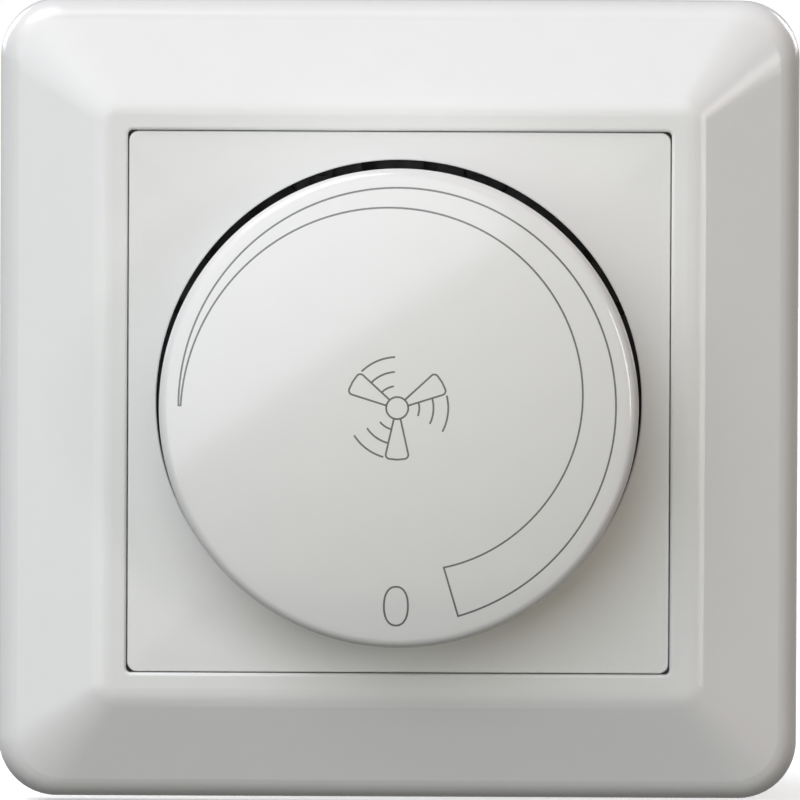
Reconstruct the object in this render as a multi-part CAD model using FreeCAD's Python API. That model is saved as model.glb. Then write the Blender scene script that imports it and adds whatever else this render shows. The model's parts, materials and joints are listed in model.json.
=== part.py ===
import FreeCAD, Part
import math
import os

# Flush-mounted rotary fan speed control: cover frame, centre plate and knob in front of the wall,
# and the support plate with its claws, housing, potentiometer and circuit board in the wall box.
#
# Every piece is drawn face up: z is the distance in front of the wall, x is to the right and y is up
# the wall. stand_upright() then turns each piece so that the front faces -Y and +Z is up.
# The origin is on the knob's axis in the plane of the wall. Sizes are in millimetres.

Vec = FreeCAD.Vector

# Wall box and steel support plate
BOX_PITCH = 60.0           # screw pitch of the wall box
SLOT_WIDTH = 4.2           # slots for the box screws
SLOT_LENGTH = 6.4
SLOT_TO_EDGE = 5.5         # slot centre to the support plate's edge
SUPPORT_T = 1.2
SUPPORT_CORNER_R = 4.0

# Cover frame
FRAME_COVER = 5.25         # reach past the support plate on each side
FRAME_CORNER_R = 5.9
FRAME_HEIGHT = 9.4         # wall to the flat land round the opening
FRAME_EDGE_HEIGHT = 4.8    # side wall, up to the line where the slope would meet it
FRAME_LAND = 2.6           # land between the ridge and the opening
FRAME_RIDGE_CORNER_R = 2.0
FRAME_EDGE_R = 3.2         # rounding between side wall and slope
FRAME_RIDGE_R = 4.8        # rounding between slope and land
FRAME_LIP_R = 0.35         # rounding at the opening
FRAME_WALL = 1.8
FRAME_COLLAR_WALL = 1.4    # collar behind the opening
FRAME_LEDGE = 1.0          # ledge in the opening that carries the centre plate
FRAME_LEDGE_T = 1.2
FRAME_FOOT_LENGTH = 6.0
FRAME_RIB_T = 1.0

# Centre plate
PLATE_SIZE = 55.0
PLATE_GAP = 0.2            # gap to the frame all round
PLATE_SINK = 0.3           # face below the frame's land
PLATE_CORNER_R = 0.9
PLATE_EDGE_R = 0.35
PLATE_T = 1.8
PLATE_DEPTH = 3.5          # face to the ledge that carries the skirt
PLATE_RIM = 2.75           # knob opening to the plate's edge
PLATE_SKIRT_WALL = 1.3
PLATE_COLLAR_WALL = 1.0
HOOK_T = 1.2
HOOK_WIDTH = 5.0
HOOK_BARB = 0.8

# Knob
KNOB_GAP = 0.3             # widest part of the knob to the opening
KNOB_RISE = 11.0           # plate face to the sharp corner of the knob's face
KNOB_CROWN = 3.2           # rise of the face from its edge to the axis
KNOB_EDGE_R = 1.25
KNOB_UNDERCUT = 0.95       # how far the side draws in from the face to the skirt's end
KNOB_DIP = 2.8             # skirt's end below the plate's face
KNOB_WALL = 1.6
KNOB_FACE_T = 1.8
KNOB_HUB_WALL = 2.5
KNOB_RIB_T = 1.0
KNOB_RIB_DEPTH = 4.0
KNOB_RIBS = 6
KNOB_TURN_DEG = 270.0      # off to lowest speed

# Shaft, bush and potentiometer
SHAFT_D = 6.0
SHAFT_FLAT = 1.5           # axis to the flat
SHAFT_FIT = 0.05           # radial running clearance
BUSH_D = 10.0
BUSH_FLANGE = 1.5          # flange beyond the bush
BUSH_FLANGE_T = 1.0
BUSH_SINK = 1.1            # bush's end behind the plate's face
CIRCLIP_T = 0.7
CIRCLIP_GROOVE = 0.6
WASHER_T = 0.8
NUT_T = 2.5
NUT_FLATS = 14.0
POT_D = 20.0
POT_WALL = 0.8
POT_DEPTH = 8.0
ROTOR_T = 2.0
ROTOR_TOOTH_DEG = 20.0
STOP_CLEAR_DEG = 1.0       # free play at each end of the turn
WAFER_T = 1.4
WIPER_T = 0.3
CLIP_T = 0.3
SWITCH_DEPTH = 6.0
PIN_R = 0.5

# Insert housing and circuit board
HOUSING_WALL = 1.5
HOUSING_CORNER_R = 9.0
SIDE_BAY = 5.0             # room beside the potentiometer
CLAW_POCKET = 5.0          # depth of the side pockets for the claws
CLAW_POCKET_DROP = 8.2     # how far the pockets reach behind the wall
BOARD_T = 1.6
BOARD_CLEAR = 0.3
TERMINAL_BAY = 7.9         # board to the inside of the rear floor
TERMINAL_PITCH = 11.0
TERMINAL_WIDTH = 6.4
TERMINAL_CLEAR = 0.3
TERMINAL_DEPTH = 9.4       # housing's lower face to the back of the terminal chambers
WIRE_WINDOW = 3.6
CLAMP_BACK = 0.9           # metal behind the wire window
CLAMP_FRONT = 1.7          # metal in front of it, for the thread
BOSS_R = 2.6               # screw bosses outside the housing
BOSS_OUT = 0.7             # boss axis outside the housing's face
SCREW_R = 1.25             # housing screws
SCREW_HEAD_R = 2.2
SCREW_HEAD_T = 1.6
SCREW_REACH = 10.0         # thread behind the wall
SCREW_EDGE = 1.0           # screw head to the carrier's edge

# Black carrier in front of the support plate
CARRIER_CLEAR = 0.4        # inside the frame's ledge
CARRIER_DROP = 0.2         # front face behind the frame's collar
RECESS_WIDTH = 1.5         # moulded recesses under the edge of the knob
RECESS_DEPTH = 1.8
RECESS_COUNT = 24

# Spreading claws
CLAW_T = 1.5
CLAW_WIDTH = 12.0
CLAW_ARM = 4.7             # pivot to screw
CLAW_LUG_END = 2.0         # lug beyond the screw
CLAW_STANDOFF = 2.8        # pivot outside the housing
CLAW_PIVOT_DROP = 2.6      # pivot behind the wall
CLAW_LEG = 13.4            # pivot to the end of the leg
CLAW_TOE = 2.2             # outward kick of the toe
CLAW_PIN_R = 1.0
CLAW_PIN_FIT = 0.05
CLAW_SIDE_GAP = 0.3
CLAW_SWING_DEG = 18.0
CLAW_SCREW_R = 1.5
CLAW_SCREW_HEAD_R = 2.75
CLAW_SCREW_HEAD_T = 1.8
CLAW_SCREW_GAP = 0.05

# Fuse drawer and speed trimmer
FUSE_R = 2.6
FUSE_LENGTH = 20.0
FUSE_CAP = 5.0
FUSE_CAP_T = 0.2
FUSE_CONTACT_WIDTH = 3.0
FUSE_CONTACT_LENGTH = 4.0
FUSE_CONTACT_T = 0.4
DRAWER_WALL = 1.2
DRAWER_FLANGE = 1.2
TRIMMER_R = 2.0
TRIMMER_BODY = 7.0
TRIMMER_HEIGHT = 4.5
TRIMMER_X = 12.0

# Parts on the board
CHOKE_HOLE_R = 3.0
CHOKE_WIDTH = 5.0
CHOKE_WIRE = 0.8
CHOKE_X = -10.0
CAPACITOR_X = 2.4
CAPACITOR_LENGTH = 11.0
CAPACITOR_T = 6.0
TRIAC_T = 3.2
TRIAC_WIDTH = 8.0
TRIAC_HEIGHT = 11.0
TRIAC_HEAD_SINK = 0.9      # screw head sunk in the triac's case
HEAT_SINK_T = 1.2
HEAT_SINK_WIDTH = 15.0
RESISTOR_R = 1.2
RESISTOR_LENGTH = 6.3
TIMING_CAP_T = 3.4
TIMING_CAP_LENGTH = 7.0
TIMING_CAP_HEIGHT = 7.0
HEADROOM = 1.2             # tallest part to the support plate

# Heights and plan sizes that follow from the values above
SUPPORT_SIZE = BOX_PITCH + 2 * SLOT_TO_EDGE
FRAME_SIZE = SUPPORT_SIZE + 2 * FRAME_COVER
PLATE_FACE = FRAME_HEIGHT - PLATE_SINK
PLATE_BACK = PLATE_FACE - PLATE_T
LEDGE_TOP = PLATE_FACE - PLATE_DEPTH
COLLAR_END = LEDGE_TOP - FRAME_LEDGE_T
OPENING = PLATE_SIZE + 2 * PLATE_GAP
LEDGE_OPENING = OPENING - 2 * FRAME_LEDGE
COLLAR_OUTER = OPENING + 2 * FRAME_COLLAR_WALL
KNOB_HOLE_R = PLATE_SIZE / 2 - PLATE_RIM
KNOB_R = KNOB_HOLE_R - KNOB_GAP
KNOB_CORNER_Z = PLATE_FACE + KNOB_RISE
KNOB_APEX = KNOB_CORNER_Z + KNOB_CROWN
KNOB_END_Z = PLATE_FACE - KNOB_DIP
CARRIER_TOP = COLLAR_END - CARRIER_DROP
CARRIER_T = CARRIER_TOP - SUPPORT_T
CARRIER_SIZE = LEDGE_OPENING - 2 * CARRIER_CLEAR
HOOK_X = CARRIER_SIZE / 2 - 4.6
HOOK_Y = HOOK_X
SHAFT_R = SHAFT_D / 2
BUSH_R = BUSH_D / 2
POT_R = POT_D / 2
BUSH_TOP = PLATE_FACE - BUSH_SINK
CIRCLIP_Z = BUSH_TOP + 0.2
HUB_END_Z = CIRCLIP_Z + CIRCLIP_T + 0.4
SHAFT_TOP = KNOB_CORNER_Z - KNOB_FACE_T - 1.6
SWITCH_Z = -POT_DEPTH
BOARD_TOP = SWITCH_Z - SWITCH_DEPTH
BOARD_BACK = BOARD_TOP - BOARD_T
FLOOR_TOP = BOARD_BACK - TERMINAL_BAY
FLOOR_BACK = FLOOR_TOP - HOUSING_WALL
BAY_X = POT_R + SIDE_BAY
BOSS_Y = CARRIER_SIZE / 2 - SCREW_HEAD_R - SCREW_EDGE
HOUSING_Y = BOSS_Y - BOSS_OUT
BAY_Y = HOUSING_Y - HOUSING_WALL
END_BAY = BAY_Y - POT_R
HOUSING_X = BAY_X + HOUSING_WALL + CLAW_POCKET
CAVITY_X = HOUSING_X - HOUSING_WALL
POCKET_Y = CLAW_WIDTH / 2 + CLAW_SIDE_GAP + SUPPORT_T + 1.0
BOSS_X = HOUSING_X * 0.42
CLAW_PIVOT_X = HOUSING_X + CLAW_STANDOFF
CLAW_PIVOT_Z = -CLAW_PIVOT_DROP
CLAW_SCREW_X = CLAW_PIVOT_X - CLAW_ARM
CLAW_LUG_TOP = CLAW_PIVOT_Z + CLAW_T / 2
END_BAY_Y = POT_R + END_BAY / 2
FUSE_Y = -END_BAY_Y
FUSE_Z = -FUSE_R
DRAWER_X = FUSE_LENGTH / 2 + DRAWER_WALL + 0.4
DRAWER_Y = FUSE_R + DRAWER_WALL + 0.15
TRIMMER_Y = END_BAY_Y
PART_TOP = -HEADROOM
CHAMBER_BACK = TERMINAL_DEPTH - HOUSING_Y
TERMINAL_ROOF_T = 1.2
TERMINAL_TOP = BOARD_BACK - TERMINAL_ROOF_T
SCREW_SITES = [(sx * BOSS_X, sy * BOSS_Y) for sx in (-1, 1) for sy in (-1, 1)]
TERMINAL_SITES = [step * TERMINAL_PITCH for step in (-1, 0, 1)]
SMALL = 0.02               # clearance of a tight fit within one moving group
SEAT = 0.05                # clearance at a seat


def claw_screw_travel():
    """Axial travel of the round screw tip that swings the claw through its full angle."""
    swing = math.radians(CLAW_SWING_DEG)
    lift = CLAW_T / 2 + CLAW_SCREW_R
    return CLAW_ARM * math.tan(swing) + lift * (1 - 1 / math.cos(swing))


# Basic forms

def block(x0, x1, y0, y1, z0, z1):
    """Box between two corners."""
    return Part.makeBox(x1 - x0, y1 - y0, z1 - z0, Vec(x0, y0, z0))


def pad(width, height, z0, z1, at=(0, 0)):
    """Box centred on a point of the plan."""
    x, y = at
    return block(x - width / 2, x + width / 2, y - height / 2, y + height / 2, z0, z1)


def rod(radius, z0, z1, at=(0, 0)):
    """Cylinder along z."""
    return Part.makeCylinder(radius, z1 - z0, Vec(at[0], at[1], z0))


def tube(outer, inner, z0, z1, at=(0, 0)):
    """Hollow cylinder along z."""
    return rod(outer, z0, z1, at).cut(rod(inner, z0 - 1, z1 + 1, at))


def rod_along(axis, radius, length, start):
    """Cylinder from a point along any axis."""
    return Part.makeCylinder(radius, length, Vec(*start), Vec(*axis))


def rounded_rect(width, height, radius, z):
    """Closed wire of a rectangle with round corners, centred on the axis at height z."""
    arcs = []
    for turn in range(4):
        sx, sy = [(1, -1), (1, 1), (-1, 1), (-1, -1)][turn]
        centre = Vec(sx * (width / 2 - radius), sy * (height / 2 - radius), z)
        start = math.radians(90 * turn - 90)
        points = [centre + Vec(math.cos(start + a), math.sin(start + a), 0) * radius
                  for a in (0, math.pi / 4, math.pi / 2)]
        arcs.append(points)
    edges = []
    for here, following in zip(arcs, arcs[1:] + arcs[:1]):
        edges.append(Part.Arc(*here).toShape())
        edges.append(Part.LineSegment(here[2], following[0]).toShape())
    return Part.Wire(edges)


def prism(wire, height):
    """Solid between a flat wire and its copy raised by height."""
    return Part.Face(wire).extrude(Vec(0, 0, height))


def rounded_slab(width, height, radius, z0, z1):
    """Rounded rectangle between two heights."""
    return prism(rounded_rect(width, height, radius, z0), z1 - z0)


def revolved(points):
    """Solid of revolution about the knob's axis from (radius, z) points."""
    wire = Part.makePolygon([Vec(r, 0, z) for r, z in points + points[:1]])
    return Part.Face(wire).revolve(Vec(0, 0, 0), Vec(0, 0, 1), 360)


def side_profile(points, y0, y1):
    """Solid from (x, z) points, as wide as y0 to y1."""
    wire = Part.makePolygon([Vec(x, y0, z) for x, z in points + points[:1]])
    return Part.Face(wire).extrude(Vec(0, y1 - y0, 0))


def sector(inner, outer, start_deg, end_deg, z0, z1):
    """Part of a ring between two angles, counted anticlockwise from +x."""
    face = Part.Face(Part.makePolygon([Vec(r, 0, z) for r, z in
                                       ((inner, z0), (outer, z0), (outer, z1), (inner, z1), (inner, z0))]))
    ring = face.revolve(Vec(0, 0, 0), Vec(0, 0, 1), end_deg - start_deg)
    ring.rotate(Vec(0, 0, 0), Vec(0, 0, 1), start_deg)
    return ring


def slot(length, width, z0, z1, at, along_y=False):
    """Round-ended slot cutter."""
    run = length - width
    sizes = (width, run) if along_y else (run, width)
    ends = [(at[0], at[1] + s * run / 2) if along_y else (at[0] + s * run / 2, at[1]) for s in (-1, 1)]
    return pad(sizes[0], sizes[1], z0, z1, at).fuse([rod(width / 2, z0, z1, end) for end in ends])


def joined(first, *others):
    """One solid from touching pieces."""
    return first.fuse(list(others)).removeSplitter()


def without(shape, *cutters):
    """Shape with the cutters taken away."""
    return shape.cut(list(cutters))


def rounded_edges(shape, radius, wanted):
    """Shape with a fillet on each edge that wanted() accepts."""
    return shape.makeFillet(radius, [e for e in shape.Edges if wanted(e)])


def bevelled(shape, size, wanted):
    """Shape with a chamfer on each edge that wanted() accepts."""
    return shape.makeChamfer(size, [e for e in shape.Edges if wanted(e)])


def level(z):
    """Test for an edge that lies flat at height z."""
    return lambda e: abs(e.BoundBox.ZMin - z) < 1e-4 and abs(e.BoundBox.ZMax - z) < 1e-4


def upright(edge):
    """Test for a straight edge along z."""
    box = edge.BoundBox
    return box.XLength < 1e-6 and box.YLength < 1e-6


def left_copy(shape):
    """Mirror image on the left side."""
    return shape.mirror(Vec(0, 0, 0), Vec(1, 0, 0))


def group(shapes):
    """Separate solids of one kind kept together."""
    return Part.makeCompound(list(shapes))


# Front trim

def frame_form(size, corner_r, edge_z, ridge_size, top_z):
    """Low pyramid on a rounded square: upright side wall, then a slope up to the ridge."""
    wall = rounded_slab(size, size, corner_r, 0, edge_z)
    slope = Part.makeLoft([rounded_rect(size, size, corner_r, edge_z),
                           rounded_rect(ridge_size, ridge_size, FRAME_RIDGE_CORNER_R, top_z)], True, True)
    return joined(wall, slope)


def cover_frame():
    """Moulded frame, hollow behind, with a collar and ledge round the square opening."""
    ridge_size = OPENING + 2 * FRAME_LAND
    run = (FRAME_SIZE - ridge_size) / 2
    slope = math.atan2(FRAME_HEIGHT - FRAME_EDGE_HEIGHT, run)
    form = frame_form(FRAME_SIZE, FRAME_CORNER_R, FRAME_EDGE_HEIGHT, ridge_size, FRAME_HEIGHT)
    form = rounded_edges(form, FRAME_EDGE_R, level(FRAME_EDGE_HEIGHT))
    form = rounded_edges(form, FRAME_RIDGE_R, level(FRAME_HEIGHT))
    form = form.cut(rounded_slab(OPENING, OPENING, PLATE_GAP + 0.3, LEDGE_TOP, FRAME_HEIGHT + 1))
    lip = [e for e in form.Edges if level(FRAME_HEIGHT)(e) and e.BoundBox.XMax < OPENING / 2 + 0.01
           and e.BoundBox.YMax < OPENING / 2 + 0.01 and e.BoundBox.XMin > -OPENING / 2 - 0.01
           and e.BoundBox.YMin > -OPENING / 2 - 0.01]
    form = form.makeFillet(FRAME_LIP_R, lip)

    drop = FRAME_WALL / math.cos(slope)
    hollow_edge = FRAME_EDGE_HEIGHT + FRAME_WALL * math.tan(slope) - drop
    hollow_ridge = ridge_size - 2 * (drop - FRAME_WALL) / math.tan(slope)
    hollow = frame_form(FRAME_SIZE - 2 * FRAME_WALL, FRAME_CORNER_R - FRAME_WALL, hollow_edge,
                        hollow_ridge, FRAME_HEIGHT - FRAME_WALL)
    collar = pad(COLLAR_OUTER, COLLAR_OUTER, COLLAR_END, FRAME_HEIGHT)
    ribs = frame_ribs()
    form = without(form, hollow.cut([collar] + ribs))
    ledge = pad(LEDGE_OPENING, LEDGE_OPENING, -1, LEDGE_TOP + 1)
    return joined(form.cut(ledge), *frame_feet())


def frame_quarter_turns(shape):
    """The shape on each of the four sides of the frame."""
    copies = []
    for quarter in range(4):
        turned = shape.copy()
        turned.rotate(Vec(0, 0, 0), Vec(0, 0, 1), 90 * quarter)
        copies.append(turned)
    return copies


def frame_ribs():
    """Stiffening ribs between the collar and the side wall, two on each side."""
    ribs = []
    for side in (-1, 1):
        rib = pad(FRAME_SIZE / 2, FRAME_RIB_T, COLLAR_END, FRAME_HEIGHT,
                  (COLLAR_OUTER / 2 + FRAME_SIZE / 4 - 0.5, side * PLATE_SIZE / 4))
        ribs += frame_quarter_turns(rib)
    return ribs


def frame_feet():
    """Feet under the collar that stand on the support plate, two on each side."""
    feet = []
    for side in (-1, 1):
        foot = pad(FRAME_COLLAR_WALL, FRAME_FOOT_LENGTH, SUPPORT_T, COLLAR_END,
                   ((OPENING + FRAME_COLLAR_WALL) / 2, side * PLATE_SIZE / 4))
        feet += frame_quarter_turns(foot)
    return feet


def centre_plate():
    """Square plate with the round knob opening, a skirt that stands on the frame's ledge, and hooks."""
    slab = rounded_slab(PLATE_SIZE, PLATE_SIZE, PLATE_CORNER_R, PLATE_BACK, PLATE_FACE)
    slab = slab.cut(rod(KNOB_HOLE_R, PLATE_BACK - 1, PLATE_FACE + 1))
    slab = rounded_edges(slab, PLATE_EDGE_R, level(PLATE_FACE))
    inside = PLATE_SIZE - 2 * PLATE_SKIRT_WALL
    skirt = rounded_slab(PLATE_SIZE, PLATE_SIZE, PLATE_CORNER_R, LEDGE_TOP, PLATE_BACK).cut(
        pad(inside, inside, LEDGE_TOP - 1, PLATE_BACK + 1))
    collar = tube(KNOB_HOLE_R + PLATE_COLLAR_WALL, KNOB_HOLE_R, CARRIER_TOP + 0.4, PLATE_BACK)
    return joined(slab, skirt, collar, *plate_hooks())


def plate_hooks():
    """Four snap hooks in the corners, which catch under the carrier's shoulders."""
    shoulder = SUPPORT_T + CARRIER_T / 2
    tip = SUPPORT_T + 0.3
    half = HOOK_T / 2
    profile = [(HOOK_X - half, PLATE_BACK), (HOOK_X - half, tip), (HOOK_X + half, tip),
               (HOOK_X + half + HOOK_BARB, shoulder - SEAT), (HOOK_X + half, shoulder - SEAT),
               (HOOK_X + half, PLATE_BACK)]
    hooks = []
    for side in (-1, 1):
        hook = side_profile(profile, side * HOOK_Y - HOOK_WIDTH / 2, side * HOOK_Y + HOOK_WIDTH / 2)
        hooks += [hook, left_copy(hook)]
    return hooks


def crown_sphere(depth):
    """Sphere that the knob's face is part of, or its ceiling at a depth below the face."""
    radius = (KNOB_R ** 2 + KNOB_CROWN ** 2) / (2 * KNOB_CROWN)
    return Part.makeSphere(radius - depth, Vec(0, 0, KNOB_APEX - radius))


def knob_outside():
    """Outer form of the knob: drawn-in side, rounded edge and domed face."""
    draft = KNOB_UNDERCUT / (KNOB_CORNER_Z - KNOB_END_Z)
    height = KNOB_APEX - KNOB_END_Z
    end_r = KNOB_R - KNOB_UNDERCUT
    side = Part.makeCone(end_r, end_r + draft * height, height, Vec(0, 0, KNOB_END_Z))
    return rounded_edges(side.common(crown_sphere(0)), KNOB_EDGE_R, level(KNOB_CORNER_Z))


def shaft_section(clearance, flat, z0, z1):
    """Round bar with one flat on its +x side."""
    bar = rod(SHAFT_R + clearance, z0, z1)
    return bar.cut(block(flat, POT_D, -POT_D, POT_D, z0 - 1, z1 + 1))


def knob():
    """Knob cap with its hub and ribs, moulded in one piece."""
    shoulder = KNOB_CORNER_Z - KNOB_FACE_T
    rim_r = KNOB_R - KNOB_WALL
    hollow = revolved([(0, KNOB_END_Z - 1), (rim_r - KNOB_UNDERCUT, KNOB_END_Z - 1),
                       (rim_r - KNOB_EDGE_R * 0.3, shoulder - KNOB_EDGE_R), (rim_r - KNOB_EDGE_R, shoulder),
                       (rim_r - KNOB_EDGE_R, KNOB_APEX), (0, KNOB_APEX)])
    hollow = hollow.common(crown_sphere(KNOB_FACE_T))
    hub = rod(SHAFT_R + KNOB_HUB_WALL, HUB_END_Z, KNOB_APEX)
    ribs = []
    for turn in range(KNOB_RIBS):
        rib = block(0, rim_r, -KNOB_RIB_T / 2, KNOB_RIB_T / 2, shoulder - KNOB_RIB_DEPTH, KNOB_APEX)
        rib.rotate(Vec(0, 0, 0), Vec(0, 0, 1), 360 * (turn + 0.5) / KNOB_RIBS)
        ribs.append(rib)
    bore = shaft_section(SMALL, SHAFT_FLAT + CLIP_T + 2 * SEAT, HUB_END_Z - 1, SHAFT_TOP + 0.3)
    body = without(knob_outside(), hollow.cut([hub] + ribs))
    return without(body, bore, clip_seat(SEAT))


def clip_seat(clearance):
    """Room for the spring clip's foot in the end of the hub."""
    return block(SHAFT_FLAT + SEAT - clearance, SHAFT_R + KNOB_HUB_WALL / 2 + clearance,
                 -SHAFT_R / 2 - clearance, SHAFT_R / 2 + clearance,
                 HUB_END_Z - 1, HUB_END_Z + CLIP_T + clearance)


def knob_spring_clip():
    """Spring steel strip that holds the knob on the shaft's flat."""
    inner = SHAFT_FLAT + SEAT
    half = SHAFT_R / 2
    leaf = block(inner, inner + CLIP_T, -half, half, HUB_END_Z, SHAFT_TOP)
    foot = block(inner, SHAFT_R + KNOB_HUB_WALL / 2, -half, half, HUB_END_Z, HUB_END_Z + CLIP_T)
    return joined(leaf, foot)


# Shaft and potentiometer

def control_shaft():
    """Turned shaft with a flat for the knob and a groove for the circlip."""
    lower = rod(SHAFT_R, SWITCH_Z - 1.0, HUB_END_Z)
    upper = shaft_section(0, SHAFT_FLAT, HUB_END_Z, SHAFT_TOP)
    upper = bevelled(upper, 0.4, level(SHAFT_TOP))
    groove = tube(SHAFT_R + 1, SHAFT_R - CIRCLIP_GROOVE, CIRCLIP_Z, CIRCLIP_Z + CIRCLIP_T)
    return joined(lower, upper).cut(groove)


def shaft_circlip():
    """Open retaining ring in the shaft's groove."""
    z0, z1 = CIRCLIP_Z + SMALL, CIRCLIP_Z + CIRCLIP_T - SMALL
    ring = tube(SHAFT_R + 1.2, SHAFT_R - CIRCLIP_GROOVE + SMALL, z0, z1)
    return ring.cut(block(0, SHAFT_D, -SHAFT_R * 0.7, SHAFT_R * 0.7, z0 - 1, z1 + 1))


def threaded_bush():
    """Bush that carries the shaft and clamps the potentiometer to the support plate."""
    body = bevelled(rod(BUSH_R, -POT_WALL, BUSH_TOP), 0.4, level(BUSH_TOP))
    flange = rod(BUSH_R + BUSH_FLANGE, -POT_WALL - BUSH_FLANGE_T, -POT_WALL)
    return joined(body, flange).cut(rod(SHAFT_R + SHAFT_FIT, -POT_DEPTH, BUSH_TOP + 1))


def lock_washer():
    """Toothed lock washer under the nut."""
    ring = tube(BUSH_R + 2.6, BUSH_R + SEAT, SUPPORT_T, SUPPORT_T + WASHER_T)
    notches = []
    for step in range(12):
        notch = pad(1.4, 1.2, SUPPORT_T - 1, SUPPORT_T + WASHER_T + 1, (BUSH_R + 2.6, 0))
        notch.rotate(Vec(0, 0, 0), Vec(0, 0, 1), 30 * step)
        notches.append(notch)
    return without(ring, *notches)


def bush_nut():
    """Flat hexagon nut on the bush."""
    base = SUPPORT_T + WASHER_T
    corner = NUT_FLATS / math.sqrt(3)
    corners = [Vec(corner * math.cos(math.radians(60 * n)), corner * math.sin(math.radians(60 * n)), base)
               for n in range(7)]
    hexagon = prism(Part.makePolygon(corners), NUT_T)
    return hexagon.cut(rod(BUSH_R + SEAT, base - 1, base + NUT_T + 1))


def pot_housing():
    """Drawn metal can of the potentiometer with the stop that limits the turn."""
    can = rod(POT_R, -POT_DEPTH, 0).cut(rod(POT_R - POT_WALL, -POT_DEPTH - 1, -POT_WALL))
    can = can.cut(rod(BUSH_R + SEAT, -POT_DEPTH, 1))
    stop_deg = 360 - KNOB_TURN_DEG - ROTOR_TOOTH_DEG - 2 * STOP_CLEAR_DEG
    stop = sector(rotor_radius() + 0.3, POT_R - POT_WALL / 2, 90 - stop_deg / 2, 90 + stop_deg / 2,
                  rotor_top() - ROTOR_T, -POT_WALL)
    return joined(can, stop)


def rotor_radius():
    """Radius of the rotor without its stop tooth."""
    return POT_R - POT_WALL - 1.8


def rotor_top():
    """Front face of the rotor, just behind the bush's flange."""
    return -POT_WALL - BUSH_FLANGE_T - 0.4


def wiper_rotor():
    """Moulded rotor on the shaft, with the tooth that meets the stop at both ends of the turn."""
    top = rotor_top()
    stop_deg = 360 - KNOB_TURN_DEG - ROTOR_TOOTH_DEG - 2 * STOP_CLEAR_DEG
    tooth_end = 90 - stop_deg / 2 - STOP_CLEAR_DEG
    tooth = sector(SHAFT_R + 1, POT_R - POT_WALL - 0.4, tooth_end - ROTOR_TOOTH_DEG, tooth_end,
                   top - ROTOR_T, top)
    disc = rod(rotor_radius(), top - ROTOR_T, top)
    return joined(disc, tooth).cut(rod(SHAFT_R + SMALL, top - ROTOR_T - 1, top + 1))


def wiper_contact():
    """Sprung bronze wiper under the rotor, with two fingers on the track."""
    top = rotor_top() - ROTOR_T
    track = wafer_top() + SEAT
    ring = tube(SHAFT_R + 2.4, SHAFT_R + 0.4, top - WIPER_T, top)
    middle = SHAFT_R + 1.4
    finger = [(-0.6, top), (-0.6, top - WIPER_T), (2.4, track), (3.6, track), (3.6, track + WIPER_T),
              (2.6, track + WIPER_T), (0.6, top - WIPER_T), (0.6, top)]
    fingers = [side_profile(finger, s * middle - 0.5, s * middle + 0.5) for s in (-1, 1)]
    return joined(ring, *fingers)


def wafer_top():
    """Front face of the track wafer, which closes the can."""
    return -POT_DEPTH + WAFER_T


def track_wafer():
    """Laminate disc with the resistance track."""
    return tube(POT_R - POT_WALL - SEAT, SHAFT_R + 0.4, -POT_DEPTH, wafer_top())


def pot_pin_sites():
    """Plan places of the three potentiometer pins."""
    return [(step * POT_R * 0.4, -POT_R * 0.8 + abs(step) / 2) for step in (-1, 0, 1)]


def pot_pins():
    """Tinned pins from the wafer through the board."""
    return group(rod(PIN_R, BOARD_BACK - 0.6, -POT_DEPTH, site) for site in pot_pin_sites())


def mains_switch():
    """Sealed on and off switch behind the potentiometer, worked by the end of the shaft."""
    half = POT_R * 0.68
    case = rounded_edges(pad(POT_D * 0.76, 2 * half, BOARD_TOP, SWITCH_Z), 1.0, upright)
    return case.cut(rod(SHAFT_R + 0.3, SWITCH_Z - 1.6, SWITCH_Z + 1))


def switch_pin_sites():
    """Plan places of the two switch pins."""
    return [(side * POT_R * 0.5, POT_R * 0.4) for side in (-1, 1)]


def switch_pins():
    """Tinned pins from the switch through the board."""
    return group(rod(PIN_R, BOARD_BACK - 0.6, BOARD_TOP, site) for site in switch_pin_sites())


# Support plate, carrier and claws

def fuse_window(clearance, z0, z1):
    """Plan of the fuse drawer's body."""
    return pad(2 * (DRAWER_X + clearance), 2 * (DRAWER_Y + clearance), z0, z1, (0, FUSE_Y))


def support_plate():
    """Galvanised steel plate with slots for the box screws and bent ears for the claws."""
    sheet = rounded_slab(SUPPORT_SIZE, SUPPORT_SIZE, SUPPORT_CORNER_R, 0, SUPPORT_T)
    low, high = -1, SUPPORT_T + 1
    half = BOX_PITCH / 2
    slots = [slot(SLOT_LENGTH, SLOT_WIDTH, low, high, (s * half, 0)) for s in (-1, 1)]
    slots += [slot(SLOT_LENGTH, SLOT_WIDTH, low, high, (0, s * half), along_y=True) for s in (-1, 1)]
    holes = [rod(SCREW_R + 0.25, low, high, site) for site in SCREW_SITES]
    holes += [rod(CLAW_SCREW_R + SEAT, low, high, (s * CLAW_SCREW_X, 0)) for s in (-1, 1)]
    holes += [rod(BUSH_R + SEAT, low, high), rod(TRIMMER_R + 0.4, low, high, (TRIMMER_X, TRIMMER_Y)),
              fuse_window(0.3, low, high)]
    windows = [ear_window(sx, sy) for sx in (-1, 1) for sy in (-1, 1)]
    ears = [claw_ear(sx, sy) for sx in (-1, 1) for sy in (-1, 1)]
    return joined(without(sheet, *slots, *holes, *windows), *ears)


def ear_limits(sy):
    """Inner and outer y of a claw ear on the upper or lower side."""
    inner = CLAW_WIDTH / 2 + CLAW_SIDE_GAP
    return sorted((sy * inner, sy * (inner + SUPPORT_T)))


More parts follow.
